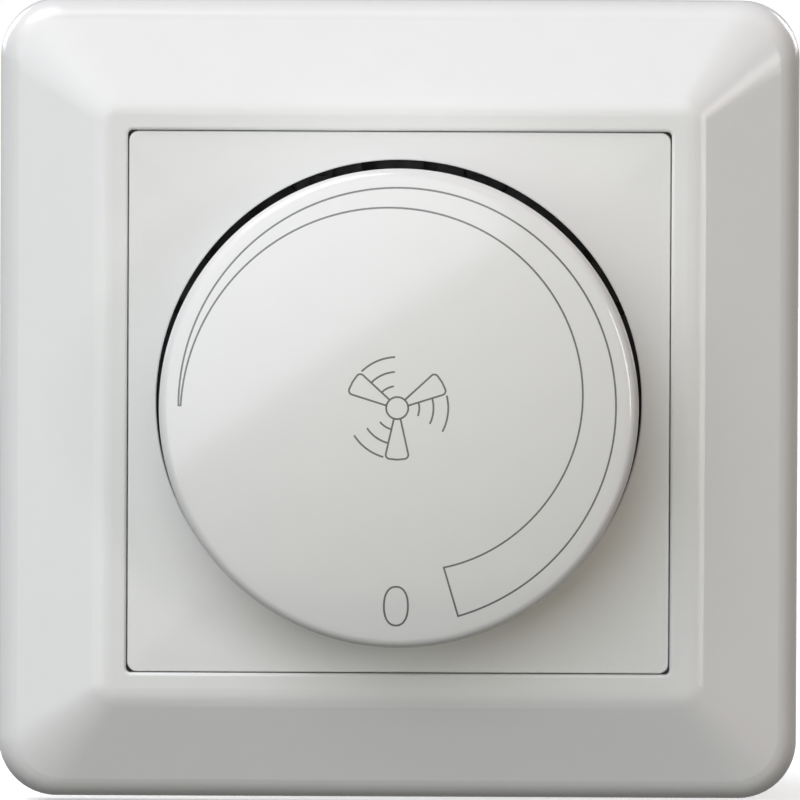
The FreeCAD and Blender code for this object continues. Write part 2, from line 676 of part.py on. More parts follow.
def claw_ear(sx, sy):
    """Ear bent back from the support plate, with the pivot hole."""
    y0, y1 = ear_limits(sy)
    half = CLAW_PIN_R + 1.2
    x = sx * CLAW_PIVOT_X
    ear = joined(block(x - half, x + half, y0, y1, CLAW_PIVOT_Z, SUPPORT_T),
                 rod_along((0, 1, 0), half, y1 - y0, (x, y0, CLAW_PIVOT_Z)))
    return ear.cut(rod_along((0, 1, 0), CLAW_PIN_R + CLAW_PIN_FIT, y1 - y0 + 2, (x, y0 - 1, CLAW_PIVOT_Z)))


def ear_window(sx, sy):
    """Window that the ear was bent out of."""
    y0, y1 = ear_limits(sy)
    outer = max(abs(y0), abs(y1))
    half = CLAW_PIN_R + 1.2
    depth = CLAW_PIVOT_DROP + half
    x = sx * CLAW_PIVOT_X
    limits = sorted((sy * outer, sy * (outer + depth)))
    return block(x - half, x + half, limits[0], limits[1], -1, SUPPORT_T + 1)


def carrier():
    """Black plate between support plate and knob: it takes the hooks of the centre plate."""
    slab = rounded_slab(CARRIER_SIZE, CARRIER_SIZE, 1.5, SUPPORT_T, CARRIER_TOP)
    low, high = SUPPORT_T - 1, CARRIER_TOP + 1
    cutters = [rod(NUT_FLATS / math.sqrt(3) + 2.0, low, high)]
    cutters += [rod(SCREW_R + 0.25, low, high, site) for site in SCREW_SITES]
    cutters += [rod(SCREW_HEAD_R + 0.3, screw_head_z(), high, site) for site in SCREW_SITES]
    cutters += [rod(CLAW_SCREW_HEAD_R + 0.4, low, high, (s * CLAW_SCREW_X, 0)) for s in (-1, 1)]
    cutters += [rod(TRIMMER_R + 0.4, low, high, (TRIMMER_X, TRIMMER_Y)), fuse_window(0.2, low, high)]
    cutters += [fuse_window(DRAWER_FLANGE + 0.2, CARRIER_TOP - DRAWER_FLANGE, high)]
    for sy in (-1, 1):
        pocket = hook_pocket(sy)
        cutters += [pocket, left_copy(pocket)]
    return without(slab, *cutters, *recesses())


def hook_pocket(sy):
    """Slot for one hook with the shoulder that its barb catches under."""
    shoulder = SUPPORT_T + CARRIER_T / 2
    half = HOOK_T / 2 + 0.2
    y0 = sy * HOOK_Y - HOOK_WIDTH / 2 - 0.2
    y1 = sy * HOOK_Y + HOOK_WIDTH / 2 + 0.2
    neck = block(HOOK_X - half, HOOK_X + half, y0, y1, SUPPORT_T - 1, CARRIER_TOP + 1)
    catch = block(HOOK_X - half, HOOK_X + half + HOOK_BARB, y0, y1, SUPPORT_T - 1, shoulder)
    return joined(neck, catch)


def recesses():
    """Radial recesses that even out the wall thickness, left out where something else is in the way."""
    taken = [(x, y, SCREW_HEAD_R + 1.0) for x, y in SCREW_SITES]
    taken += [(TRIMMER_X, TRIMMER_Y, TRIMMER_R + 1.2)]
    taken += [(s * CLAW_SCREW_X, 0, CLAW_SCREW_HEAD_R + 1.2) for s in (-1, 1)]
    taken += [(sx * HOOK_X, sy * HOOK_Y, HOOK_WIDTH * 0.8) for sx in (-1, 1) for sy in (-1, 1)]
    inner, outer = KNOB_HOLE_R - 3.2, KNOB_HOLE_R + 0.6
    middle = (inner + outer) / 2
    cutters = []
    for step in range(RECESS_COUNT):
        angle = 2 * math.pi * (step + 0.5) / RECESS_COUNT
        ends = [(r * math.cos(angle), r * math.sin(angle)) for r in (inner, middle, outer)]
        blocked = any(math.hypot(x - tx, y - ty) < reach for x, y in ends for tx, ty, reach in taken)
        over_fuse = any(abs(x) < DRAWER_X + 2.4 and abs(y - FUSE_Y) < DRAWER_Y + 2.4 for x, y in ends)
        if blocked or over_fuse:
            continue
        half = RECESS_WIDTH / 2
        cutter = block(inner, outer, -half, half, CARRIER_TOP - RECESS_DEPTH, CARRIER_TOP + 1)
        cutter.rotate(Vec(0, 0, 0), Vec(0, 0, 1), math.degrees(angle))
        cutters.append(cutter)
    return cutters


def screw_head_z():
    """Seat of the housing screws' heads, sunk in the carrier."""
    return CARRIER_TOP - SCREW_HEAD_T - 0.2


def housing_screws():
    """Four screws that hold carrier, support plate and housing together."""
    screws = []
    for site in SCREW_SITES:
        head = rod(SCREW_HEAD_R, screw_head_z(), screw_head_z() + SCREW_HEAD_T, site)
        drive = pad(SCREW_HEAD_R * 1.4, 0.6, screw_head_z() + SCREW_HEAD_T / 2, CARRIER_TOP, site)
        cross = pad(0.6, SCREW_HEAD_R * 1.4, screw_head_z() + SCREW_HEAD_T / 2, CARRIER_TOP, site)
        shank = rod(SCREW_R, -SCREW_REACH, screw_head_z(), site)
        screws.append(joined(head, shank).cut([drive, cross]))
    return group(screws)


def claw_right():
    """Right claw: a steel angle on two pivot pins, with a toothed toe that grips the wall box."""
    half_t = CLAW_T / 2
    x, z = CLAW_PIVOT_X, CLAW_PIVOT_Z
    end = z - CLAW_LEG
    knee = end + CLAW_TOE * 1.8
    tip = x + CLAW_TOE
    outline = [(CLAW_SCREW_X - CLAW_LUG_END, z + half_t), (x + half_t, z + half_t), (x + half_t, knee),
               (tip + half_t, end), (tip - half_t, end), (x - half_t, knee), (x - half_t, z - half_t),
               (CLAW_SCREW_X - CLAW_LUG_END, z - half_t)]
    strip = side_profile(outline, -CLAW_WIDTH / 2, CLAW_WIDTH / 2)
    strip = rounded_edges(strip, CLAW_T * 0.8, lambda e: e.BoundBox.YLength > CLAW_WIDTH * 0.9
                          and abs(e.BoundBox.XMin - x - half_t) < 1e-4 and e.BoundBox.ZMin > z)
    notches = []
    for step in (-1, 0, 1):
        y = step * CLAW_WIDTH / 3
        wire = Part.makePolygon([Vec(x - CLAW_T, y - 1.2, end), Vec(x - CLAW_T, y + 1.2, end),
                                 Vec(x - CLAW_T, y, end + 1.8), Vec(x - CLAW_T, y - 1.2, end)])
        notches.append(Part.Face(wire).extrude(Vec(CLAW_TOE + 3 * CLAW_T, 0, 0)))
    pin_length = CLAW_WIDTH + 2 * (CLAW_SIDE_GAP + SUPPORT_T + 0.3)
    pin = rod_along((0, 1, 0), CLAW_PIN_R, pin_length, (x, -pin_length / 2, z))
    return joined(without(strip, *notches), pin)


def claw_screw_right():
    """Right claw screw: threaded in the support plate, its round tip presses on the claw's lug."""
    tip = CLAW_LUG_TOP + CLAW_SCREW_GAP
    under_head = SUPPORT_T + claw_screw_travel() + 0.4
    site = (CLAW_SCREW_X, 0)
    ball = Part.makeSphere(CLAW_SCREW_R, Vec(CLAW_SCREW_X, 0, tip + CLAW_SCREW_R))
    shank = rod(CLAW_SCREW_R, tip + CLAW_SCREW_R, under_head, site)
    head = bevelled(rod(CLAW_SCREW_HEAD_R, under_head, under_head + CLAW_SCREW_HEAD_T, site), 0.4,
                    level(under_head + CLAW_SCREW_HEAD_T))
    drive = pad(2 * CLAW_SCREW_HEAD_R + 1, 0.8, under_head + CLAW_SCREW_HEAD_T / 2,
                under_head + CLAW_SCREW_HEAD_T + 1, site)
    return joined(ball, shank, head).cut(drive)


# Housing and terminals

def insert_housing():
    """Moulded cup in the wall box with side pockets for the claws and open terminal chambers."""
    depth = HOUSING_CORNER_R
    outer = rounded_slab(2 * HOUSING_X, 2 * HOUSING_Y, depth, FLOOR_BACK, 0)
    outer = rounded_edges(outer, 1.2, level(FLOOR_BACK))
    bosses = [rod(BOSS_R, -SCREW_REACH - 2.0, 0, site) for site in SCREW_SITES]
    cavity = rounded_slab(2 * CAVITY_X, 2 * BAY_Y, depth - HOUSING_WALL, FLOOR_TOP, 1)
    cavity = cavity.cut(pocket_walls() + [terminal_wall()] + bosses + board_posts())
    holes = [rod(SCREW_R + SEAT, -SCREW_REACH - 0.6, 1, site) for site in SCREW_SITES]
    body = joined(outer, *bosses).cut(cavity)
    return without(body, *claw_pockets(), *terminal_chambers(), *holes, *terminal_pin_holes())


def pocket_walls():
    """Blocks that leave a wall round each claw pocket."""
    right = block(BAY_X, 2 * HOUSING_X, -POCKET_Y - HOUSING_WALL, POCKET_Y + HOUSING_WALL,
                  -CLAW_POCKET_DROP - HOUSING_WALL, 2)
    return [right, left_copy(right)]


def claw_pockets():
    """Recesses that give the claws' lugs room to swing."""
    right = block(BAY_X + HOUSING_WALL, 2 * HOUSING_X, -POCKET_Y, POCKET_Y, -CLAW_POCKET_DROP, 2)
    return [right, left_copy(right)]


def board_posts():
    """Posts on the floor that carry the upper side of the board."""
    return [rod(2.0, FLOOR_TOP - 1, BOARD_BACK, (s * CAVITY_X * 0.6, BAY_Y * 0.72)) for s in (-1, 1)]


def terminal_wall():
    """Block round the terminal chambers, which also carries the lower side of the board."""
    half = TERMINAL_PITCH + TERMINAL_WIDTH / 2 + TERMINAL_CLEAR + HOUSING_WALL
    return block(-half, half, -2 * HOUSING_Y, CHAMBER_BACK + HOUSING_WALL, FLOOR_TOP - 1, BOARD_BACK)


def terminal_chambers():
    """Chambers open to the rear for the wires and to the bottom for the screwdriver."""
    half = TERMINAL_WIDTH / 2 + TERMINAL_CLEAR
    return [block(x - half, x + half, -2 * HOUSING_Y, CHAMBER_BACK, FLOOR_BACK - 1, TERMINAL_TOP)
            for x in TERMINAL_SITES]


def terminal_pin_y():
    """Plan place of the terminals' solder pins."""
    return CHAMBER_BACK - 1.6


def terminal_pin_holes():
    """Holes in the chamber roofs for the terminals' pins."""
    return [rod(PIN_R + 0.3, TERMINAL_TOP - 1, BOARD_BACK + 1, (x, terminal_pin_y())) for x in TERMINAL_SITES]


def clamp_limits():
    """y and z limits of a terminal clamp inside its chamber."""
    back = CHAMBER_BACK - TERMINAL_CLEAR
    length = WIRE_WINDOW + CLAMP_BACK + CLAMP_FRONT
    return back - length, back, FLOOR_BACK + 0.6, TERMINAL_TOP - TERMINAL_CLEAR


def wire_window_y():
    """Middle of the wire window, close to the back of the clamp."""
    return clamp_limits()[1] - CLAMP_BACK - WIRE_WINDOW / 2


def terminal_screw_z():
    """Height of the terminal screws."""
    z0, z1 = clamp_limits()[2:]
    return (z0 + z1) / 2


def terminal_clamps():
    """Brass clamps: a window for the wire, a thread for the screw and a solder pin."""
    y0, y1, z0, z1 = clamp_limits()
    clamps = []
    for x in TERMINAL_SITES:
        cage = block(x - TERMINAL_WIDTH / 2, x + TERMINAL_WIDTH / 2, y0, y1, z0, z1)
        window = pad(WIRE_WINDOW, WIRE_WINDOW, z0 - 1, z1 - 0.9, (x, wire_window_y()))
        thread = rod_along((0, 1, 0), SCREW_R + 0.3 + SEAT, y1 - y0, (x, y0 - 1, terminal_screw_z()))
        thread = thread.cut(pad(10, 4, z0 - 1, z1 + 1, (x, y1)))
        pin = rod(PIN_R, z1, BOARD_TOP + 0.5, (x, terminal_pin_y()))
        clamps.append(joined(without(cage, window, thread), pin))
    return group(clamps)


def terminal_screws():
    """Screws that press the wires against the clamps."""
    y0 = clamp_limits()[0]
    z = terminal_screw_z()
    radius = SCREW_R + 0.3
    head_r = TERMINAL_WIDTH * 0.4
    tip = wire_window_y() - WIRE_WINDOW * 0.35
    screws = []
    for x in TERMINAL_SITES:
        head = rod_along((0, 1, 0), head_r, SCREW_HEAD_T, (x, y0 - SCREW_HEAD_T - 0.8, z))
        shank = rod_along((0, 1, 0), radius, tip - y0 + 0.8, (x, y0 - 0.8, z))
        drive = block(x - head_r, x + head_r, y0 - SCREW_HEAD_T - 1.8, y0 - SCREW_HEAD_T, z - 0.4, z + 0.4)
        screws.append(joined(head, shank).cut(drive))
    return group(screws)


# Board and the parts on it

def circuit_board():
    """Board behind the potentiometer, with holes for the pins that pass through it."""
    board = rounded_slab(2 * (CAVITY_X - BOARD_CLEAR), 2 * (BAY_Y - BOARD_CLEAR),
                         HOUSING_CORNER_R - HOUSING_WALL - BOARD_CLEAR, BOARD_BACK, BOARD_TOP)
    sites = pot_pin_sites() + switch_pin_sites() + [(x, terminal_pin_y()) for x in TERMINAL_SITES]
    return without(board, *[rod(PIN_R + 0.15, BOARD_BACK - 1, BOARD_TOP + 1, site) for site in sites])


def choke_radius():
    """Outer radius of the choke's core, which stands between the board and the support plate."""
    return (PART_TOP - BOARD_TOP) / 2 - CHOKE_WIRE


def choke_ring(inner, outer, width):
    """Ring about the choke's own axis, which lies along y."""
    centre = (BOARD_TOP + PART_TOP) / 2
    start = (CHOKE_X, END_BAY_Y - width / 2, centre)
    return rod_along((0, 1, 0), outer, width, start).cut(
        rod_along((0, 1, 0), inner, width + 2, (CHOKE_X, start[1] - 1, centre)))


def choke_core():
    """Iron powder ring of the interference choke."""
    return choke_ring(CHOKE_HOLE_R, choke_radius(), CHOKE_WIDTH)


def choke_winding():
    """Copper winding, drawn as the closed sleeve that its turns form."""
    sleeve = choke_ring(CHOKE_HOLE_R - CHOKE_WIRE, choke_radius() + CHOKE_WIRE, CHOKE_WIDTH + 2 * CHOKE_WIRE)
    sleeve = sleeve.cut(choke_ring(CHOKE_HOLE_R - SMALL, choke_radius() + SMALL, CHOKE_WIDTH + 2 * SMALL))
    gap = pad(1.6, 3 * CHOKE_WIDTH, BOARD_TOP - 1, (BOARD_TOP + PART_TOP) / 2, (CHOKE_X, END_BAY_Y))
    return sleeve.cut(gap)


def suppression_capacitor():
    """Boxed film capacitor against mains interference."""
    case = pad(CAPACITOR_LENGTH, CAPACITOR_T, BOARD_TOP, PART_TOP - 1.5, (CAPACITOR_X, END_BAY_Y))
    return rounded_edges(case, 0.6, upright)


def bay_seat_x():
    """Inner face of the heat sink, which lies against the bay's outer side."""
    return BAY_X - 0.2 - HEAT_SINK_T


def heat_sink():
    """Aluminium angle that carries the triac's heat to the support plate."""
    blade = block(bay_seat_x(), bay_seat_x() + HEAT_SINK_T, -HEAT_SINK_WIDTH / 2, HEAT_SINK_WIDTH / 2,
                  BOARD_TOP + 0.8, 0)
    foot = block(POT_R + 0.5, bay_seat_x() + HEAT_SINK_T, -HEAT_SINK_WIDTH / 2, HEAT_SINK_WIDTH / 2,
                 -HEAT_SINK_T, 0)
    hole = rod_along((1, 0, 0), SCREW_R + SEAT, 2 * HEAT_SINK_T, (bay_seat_x() - 0.5, 0, triac_hole_z()))
    return joined(blade, foot).cut(hole)


def triac_hole_z():
    """Height of the screw through triac and heat sink."""
    return BOARD_TOP + 1.0 + TRIAC_HEIGHT * 0.68


def triac():
    """Power semiconductor with its three legs in the board."""
    x0, x1 = bay_seat_x() - TRIAC_T, bay_seat_x()
    z0 = BOARD_TOP + 1.0
    case = block(x0, x1, -TRIAC_WIDTH / 2, TRIAC_WIDTH / 2, z0, z0 + TRIAC_HEIGHT)
    hole = rod_along((1, 0, 0), SCREW_R + SEAT, 2 * TRIAC_T, (x0 - 1, 0, triac_hole_z()))
    sink = rod_along((1, 0, 0), SCREW_HEAD_R + 0.1, 1 + TRIAC_HEAD_SINK, (x0 - 1, 0, triac_hole_z()))
    case = without(case, hole, sink)
    legs = [pad(0.5, 0.8, BOARD_TOP, BOARD_TOP + 1.0, (x1 - TRIAC_T / 2, step * TRIAC_WIDTH * 0.28))
            for step in (-1, 0, 1)]
    return joined(case, *legs)


def triac_screw():
    """Screw that clamps the triac to the heat sink."""
    z = triac_hole_z()
    x1 = bay_seat_x()
    shank = rod_along((1, 0, 0), SCREW_R, TRIAC_T + HEAT_SINK_T, (x1 - TRIAC_T, 0, z))
    head = rod_along((1, 0, 0), SCREW_HEAD_R, TRIAC_HEAD_SINK, (x1 - TRIAC_T, 0, z))
    return joined(head, shank)


def timing_capacitor():
    """Small film capacitor of the firing circuit, on the left of the potentiometer."""
    x = -(POT_R + SIDE_BAY / 2)
    case = pad(TIMING_CAP_T, TIMING_CAP_LENGTH, BOARD_TOP, BOARD_TOP + TIMING_CAP_HEIGHT,
               (x, -TIMING_CAP_LENGTH / 2 - 0.5))
    return rounded_edges(case, 0.5, upright)


def resistors():
    """Two resistors of the firing circuit, stood on the board."""
    x = -(POT_R + SIDE_BAY / 2)
    return group(rod(RESISTOR_R, BOARD_TOP, BOARD_TOP + RESISTOR_LENGTH, (x, y)) for y in (2.2, 5.8))


def diac():
    """Glass trigger diode, stood on the board."""
    x = -(POT_R + SIDE_BAY / 2)
    return rod(RESISTOR_R * 0.75, BOARD_TOP, BOARD_TOP + RESISTOR_LENGTH * 0.7, (x, 8.6))


# Fuse and trimmer

def fuse_tube():
    """Glass tube of the fuse link."""
    return rod_along((1, 0, 0), FUSE_R - FUSE_CAP_T, FUSE_LENGTH - 2 * FUSE_CAP_T,
                     (-FUSE_LENGTH / 2 + FUSE_CAP_T, FUSE_Y, FUSE_Z))


def fuse_caps():
    """Metal caps on both ends of the fuse link."""
    right = rod_along((1, 0, 0), FUSE_R, FUSE_CAP, (FUSE_LENGTH / 2 - FUSE_CAP, FUSE_Y, FUSE_Z))
    right = right.cut(fuse_tube())
    return group([right, left_copy(right)])


def fuse_drawer():
    """Plastic drawer that lifts the fuse out from the front once the centre plate is off."""
    top = CARRIER_TOP
    flange = fuse_window(DRAWER_FLANGE, top - DRAWER_FLANGE, top)
    body = fuse_window(0, FUSE_Z - FUSE_R * 0.5, top - DRAWER_FLANGE)
    bed = rod_along((1, 0, 0), FUSE_R + 0.1, FUSE_LENGTH + 0.4, (-FUSE_LENGTH / 2 - 0.2, FUSE_Y, FUSE_Z))
    gap = pad(FUSE_LENGTH + 0.4, 2 * (FUSE_R + 0.1), FUSE_Z - FUSE_R, FUSE_Z, (0, FUSE_Y))
    finger = pad(FUSE_LENGTH * 0.6, FUSE_R, top - 0.8, top + 1, (0, FUSE_Y))
    return without(joined(flange, body), bed, gap, finger)


def fuse_contacts():
    """Bronze blades on the board that touch the fuse caps from behind."""
    under = FUSE_Z - FUSE_R - SEAT
    x = FUSE_LENGTH / 2 - FUSE_CAP / 2
    blade = pad(FUSE_CONTACT_T, FUSE_CONTACT_WIDTH, BOARD_TOP, under, (x, FUSE_Y))
    top = pad(FUSE_CONTACT_LENGTH, FUSE_CONTACT_WIDTH, under - FUSE_CONTACT_T, under, (x, FUSE_Y))
    right = joined(blade, top)
    return group([right, left_copy(right)])


def trimmer_body():
    """Trimmer on the board that sets the lowest speed."""
    site = (TRIMMER_X, TRIMMER_Y)
    case = rounded_edges(pad(TRIMMER_BODY, TRIMMER_BODY, BOARD_TOP, trimmer_z(), site), 0.6, upright)
    return case.cut(rod(TRIMMER_R - 0.6 + SEAT, BOARD_TOP + 0.6, trimmer_z() + 1, site))


def trimmer_z():
    """Front face of the trimmer's body."""
    return BOARD_TOP + TRIMMER_HEIGHT


def trimmer_spindle():
    """Plastic spindle that reaches a screwdriver slot in the carrier."""
    site = (TRIMMER_X, TRIMMER_Y)
    stem = rod(TRIMMER_R, trimmer_z() + SEAT, CARRIER_TOP - 0.4, site)
    pivot = rod(TRIMMER_R - 0.6, BOARD_TOP + 0.7, trimmer_z() + SEAT, site)
    drive = pad(2 * TRIMMER_R + 1, 0.8, CARRIER_TOP - 1.6, CARRIER_TOP, site)
    return joined(stem, pivot).cut(drive)


PIECES = {
    "cover_frame": cover_frame,
    "centre_plate": centre_plate,
    "knob": knob,
    "knob_spring_clip": knob_spring_clip,
    "control_shaft": control_shaft,
    "shaft_circlip": shaft_circlip,
    "threaded_bush": threaded_bush,
    "lock_washer": lock_washer,
    "bush_nut": bush_nut,
    "pot_housing": pot_housing,
    "wiper_rotor": wiper_rotor,
    "wiper_contact": wiper_contact,
    "track_wafer": track_wafer,
    "pot_pins": pot_pins,
    "mains_switch": mains_switch,
    "switch_pins": switch_pins,
    "support_plate": support_plate,
    "carrier": carrier,
    "housing_screws": housing_screws,
    "claw_right": claw_right,
    "claw_left": lambda: left_copy(claw_right()),
    "claw_screw_right": claw_screw_right,
    "claw_screw_left": lambda: left_copy(claw_screw_right()),
    "insert_housing": insert_housing,
    "terminal_clamps": terminal_clamps,
    "terminal_screws": terminal_screws,
    "circuit_board": circuit_board,
    "choke_core": choke_core,
    "choke_winding": choke_winding,
    "suppression_capacitor": suppression_capacitor,
    "heat_sink": heat_sink,
    "triac": triac,
    "triac_screw": triac_screw,
    "timing_capacitor": timing_capacitor,
    "resistors": resistors,
    "diac": diac,
    "fuse_tube": fuse_tube,
    "fuse_caps": fuse_caps,
    "fuse_drawer": fuse_drawer,
    "fuse_contacts": fuse_contacts,
    "trimmer_body": trimmer_body,
    "trimmer_spindle": trimmer_spindle,
}


def stand_upright(shape):
    """Turns a piece from face up to facing -Y, with +Z up."""
    turned = shape.copy()
    turned.rotate(Vec(0, 0, 0), Vec(1, 0, 0), 90)
    return turned


def main():
    os.makedirs("parts", exist_ok=True)
    for name, make in PIECES.items():
        stand_upright(make()).exportStep(f"parts/{name}.step")


main()
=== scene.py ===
import bpy
import json
import math
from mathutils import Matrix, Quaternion, Vector


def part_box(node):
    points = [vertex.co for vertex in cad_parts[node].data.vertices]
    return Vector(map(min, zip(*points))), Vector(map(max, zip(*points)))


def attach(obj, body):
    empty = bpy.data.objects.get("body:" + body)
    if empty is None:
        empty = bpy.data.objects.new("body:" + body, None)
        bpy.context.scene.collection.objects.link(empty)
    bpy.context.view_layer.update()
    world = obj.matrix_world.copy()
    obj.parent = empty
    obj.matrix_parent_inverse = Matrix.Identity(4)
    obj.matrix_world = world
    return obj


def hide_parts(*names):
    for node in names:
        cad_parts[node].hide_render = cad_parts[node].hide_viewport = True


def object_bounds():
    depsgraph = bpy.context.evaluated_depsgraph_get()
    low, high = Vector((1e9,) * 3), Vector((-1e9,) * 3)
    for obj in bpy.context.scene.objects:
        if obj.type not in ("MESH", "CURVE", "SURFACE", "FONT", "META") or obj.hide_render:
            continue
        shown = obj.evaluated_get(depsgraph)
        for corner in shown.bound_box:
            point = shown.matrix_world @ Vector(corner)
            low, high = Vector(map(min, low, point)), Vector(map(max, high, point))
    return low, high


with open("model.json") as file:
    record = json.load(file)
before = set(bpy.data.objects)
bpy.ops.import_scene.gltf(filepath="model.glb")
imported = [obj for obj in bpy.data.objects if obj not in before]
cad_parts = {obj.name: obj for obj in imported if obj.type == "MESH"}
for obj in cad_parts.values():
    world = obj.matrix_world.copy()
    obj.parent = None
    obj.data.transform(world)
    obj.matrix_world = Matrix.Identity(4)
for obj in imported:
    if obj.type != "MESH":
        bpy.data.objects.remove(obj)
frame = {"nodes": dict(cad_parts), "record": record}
CAD_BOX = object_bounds()
NODES = frame["nodes"]
SLOT_OF = {part["node"]: part["material_slot"] for part in frame["record"]["subparts"]}

MM = 0.001
QUARTER_TURNS = ((1, 0), (0, 1), (-1, 0), (0, -1))     # cosine and sine of each
BOX_FACES = ((0, 1, 3, 2), (4, 6, 7, 5), (0, 4, 5, 1), (2, 3, 7, 6), (0, 2, 6, 4), (1, 5, 7, 3))

# Knob, in millimetres: radii from its axis, heights in front of the wall
KNOB_LOW, KNOB_HIGH = [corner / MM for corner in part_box("knob")]
KNOB_APEX = -KNOB_LOW.y
KNOB_END = -KNOB_HIGH.y
KNOB_R = 24.45
KNOB_CROWN = 3.2
KNOB_CORNER = KNOB_APEX - KNOB_CROWN
KNOB_UNDERCUT = 0.95
KNOB_EDGE_R = 1.25
KNOB_WALL = 1.6
KNOB_FACE_T = 1.8
KNOB_INNER_CHAMFER = 0.375
KNOB_HUB_R = 5.5
KNOB_HUB_END = 9.3
KNOB_BORE_R = 3.0
KNOB_BORE_TOP = 17.0
KNOB_RIBS = 6
KNOB_RIB_T = 1.0
KNOB_RIB_DEPTH = 4.0
KNOB_RIB_SINK = 0.5
CROWN_R = (KNOB_R ** 2 + KNOB_CROWN ** 2) / (2 * KNOB_CROWN)
CROWN_CENTRE = KNOB_APEX - CROWN_R

# Centre plate, in millimetres, heights in front of the wall
PLATE_LOW, PLATE_HIGH = [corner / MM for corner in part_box("centre_plate")]
PLATE_GROWTH = 0.1      # wider than the solid on each side, for a fine joint line
PLATE_HALF = PLATE_HIGH.x + PLATE_GROWTH
PLATE_CORNER_R = 1.0
PLATE_LEAST_CORNER_R = 0.05
PLATE_EDGE_R = 0.2
PLATE_FACE = -PLATE_LOW.y
PLATE_BACK = 7.3
PLATE_SKIRT_END = 5.6
PLATE_SKIRT_WALL = 1.3
PLATE_HOLE_R = 24.75
PLATE_COLLAR_R = 25.75
PLATE_COLLAR_END = 4.6
HOOK_PLACE = 21.62
HOOK_WIDTH = 5.0
HOOK_HALF_T = 0.6
HOOK_ROOT = 7.4
HOOK_SHOULDER = 2.65
HOOK_REACH = 1.4
HOOK_END = -PLATE_HIGH.y

# Print on the knob, in millimetres and degrees, seen from the front
LINE_WIDTH = 0.19
ZERO_LINE_WIDTH = 0.2
PRINT_T = 0.002
PRINT_RUN = 0.4         # longest straight run of a line on the crown
MITRE_LIMIT = 0.5
WEDGE_CENTRE = (-0.16, 0.28)
WEDGE_START_DEG = 180
WEDGE_END_DEG = 253.6
WEDGE_R = 22.22
# Angle along the wedge, radius of its inner edge
WEDGE_INNER = [(0, 22.0), (45, 21.0), (90, 20.2), (135, 19.6), (180, 18.8), (215, 17.9),
               (WEDGE_END_DEG, 17.0)]
ZERO_CENTRE = (-0.2, -20.02)
ZERO_HALF_WIDTH = 1.22
ZERO_HALF_HEIGHT = 2.0
ZERO_ROUNDNESS = 0.88
FAN_CENTRE = (-0.16, 0.26)
HUB_R = 1.12
BLADES = 3
BLADE_DEG = 270
BLADE_TIP_R = 5.25
BLADE_TIP_RISE = 0.12
BLADE_TIP_HALF = 1.24
BLADE_ROOT_HALF = 0.33
BLADE_CORNER_R = 0.42
# Radius, then first and last angle beside the blade
MOTION_ARCS = [(2.24, 14.0, 51.0), (3.68, 14.5, 56.0), (5.18, 15.5, 57.5)]

# Divisions of the fine meshes and lines
KNOB_SEGMENTS = 240
KNOB_FACE_STEPS = 48
KNOB_SIDE_STEPS = 6
KNOB_EDGE_STEPS = 12
PLATE_SIDE_STEPS = 48
PLATE_EDGE_STEPS = 6
CORNER_STEPS = 8
WEDGE_STEPS = 120
ZERO_STEPS = 48
HUB_STEPS = 45
ARC_STEP_DEG = 4
SHARP_DEG = 25


def between(first, last, steps):
    """Evenly spaced values from first to last, both included."""
    return [first * (1 - i / steps) + last * (i / steps) for i in range(steps + 1)]


# Materials

NOISE_LOW = 0.3
NOISE_HIGH = 0.7
TONE_DETAIL = 4.0
GLOSS_DETAIL = 3.0
RELIEF_DETAIL = 2.0
GLASS_CLEARNESS = 0.9
GLASS_SHADE = 0.97
GLASS_ROUGHNESS = (0.03, 0.07)
GLASS_TONE_SCALE = 400
GLASS_GLOSS_SCALE = 900


def new_material(name):
    """Node material with its Principled shader."""
    mat = bpy.data.materials.new(name)
    mat.use_nodes = True
    return mat, mat.node_tree.nodes["Principled BSDF"]


def noise(mat, scale, detail, stretch=(1, 1, 1)):
    """Noise over the piece's own coordinates, in metres."""
    tree = mat.node_tree
    coords = tree.nodes.new("ShaderNodeTexCoord")
    mapping = tree.nodes.new("ShaderNodeMapping")
    mapping.inputs["Scale"].default_value = stretch
    texture = tree.nodes.new("ShaderNodeTexNoise")
    texture.inputs["Scale"].default_value = scale
    texture.inputs["Detail"].default_value = detail
    tree.links.new(coords.outputs["Object"], mapping.inputs["Vector"])
    tree.links.new(mapping.outputs["Vector"], texture.inputs["Vector"])
    return texture.outputs["Fac"]


def crystals(mat, scale):
    """Cells of one tone each, as in zinc plating."""
    tree = mat.node_tree
    coords = tree.nodes.new("ShaderNodeTexCoord")
    cells = tree.nodes.new("ShaderNodeTexVoronoi")
    cells.inputs["Scale"].default_value = scale
    tree.links.new(coords.outputs["Object"], cells.inputs["Vector"])
    return cells.outputs["Color"]


def spread(mat, value, low, high):
    """Noise mapped to the range from low to high."""
    node = mat.node_tree.nodes.new("ShaderNodeMapRange")
    node.inputs["From Min"].default_value = NOISE_LOW
    node.inputs["From Max"].default_value = NOISE_HIGH
    node.inputs["To Min"].default_value = low
    node.inputs["To Max"].default_value = high
    mat.node_tree.links.new(value, node.inputs["Value"])
    return node.outputs["Result"]


def two_tone(mat, value, first, second):
    """Colour that runs from first to second with the noise."""
    ramp = mat.node_tree.nodes.new("ShaderNodeValToRGB")
    low, high = ramp.color_ramp.elements
    low.position = NOISE_LOW
    low.color = (*first, 1)
    high.position = NOISE_HIGH
    high.color = (*second, 1)
    mat.node_tree.links.new(value, ramp.inputs["Fac"])
    return ramp.outputs["Color"]


def add_bump(mat, shader, value, height):
    """Fine relief of the given height in metres."""
    bump = mat.node_tree.nodes.new("ShaderNodeBump")
    bump.inputs["Strength"].default_value = 1.0
    bump.inputs["Distance"].default_value = height
    mat.node_tree.links.new(value, bump.inputs["Height"])
    mat.node_tree.links.new(bump.outputs["Normal"], shader.inputs["Normal"])


def shade(colour, factor):
    """Colour made lighter or darker."""
    return tuple(min(1.0, c * factor) for c in colour)


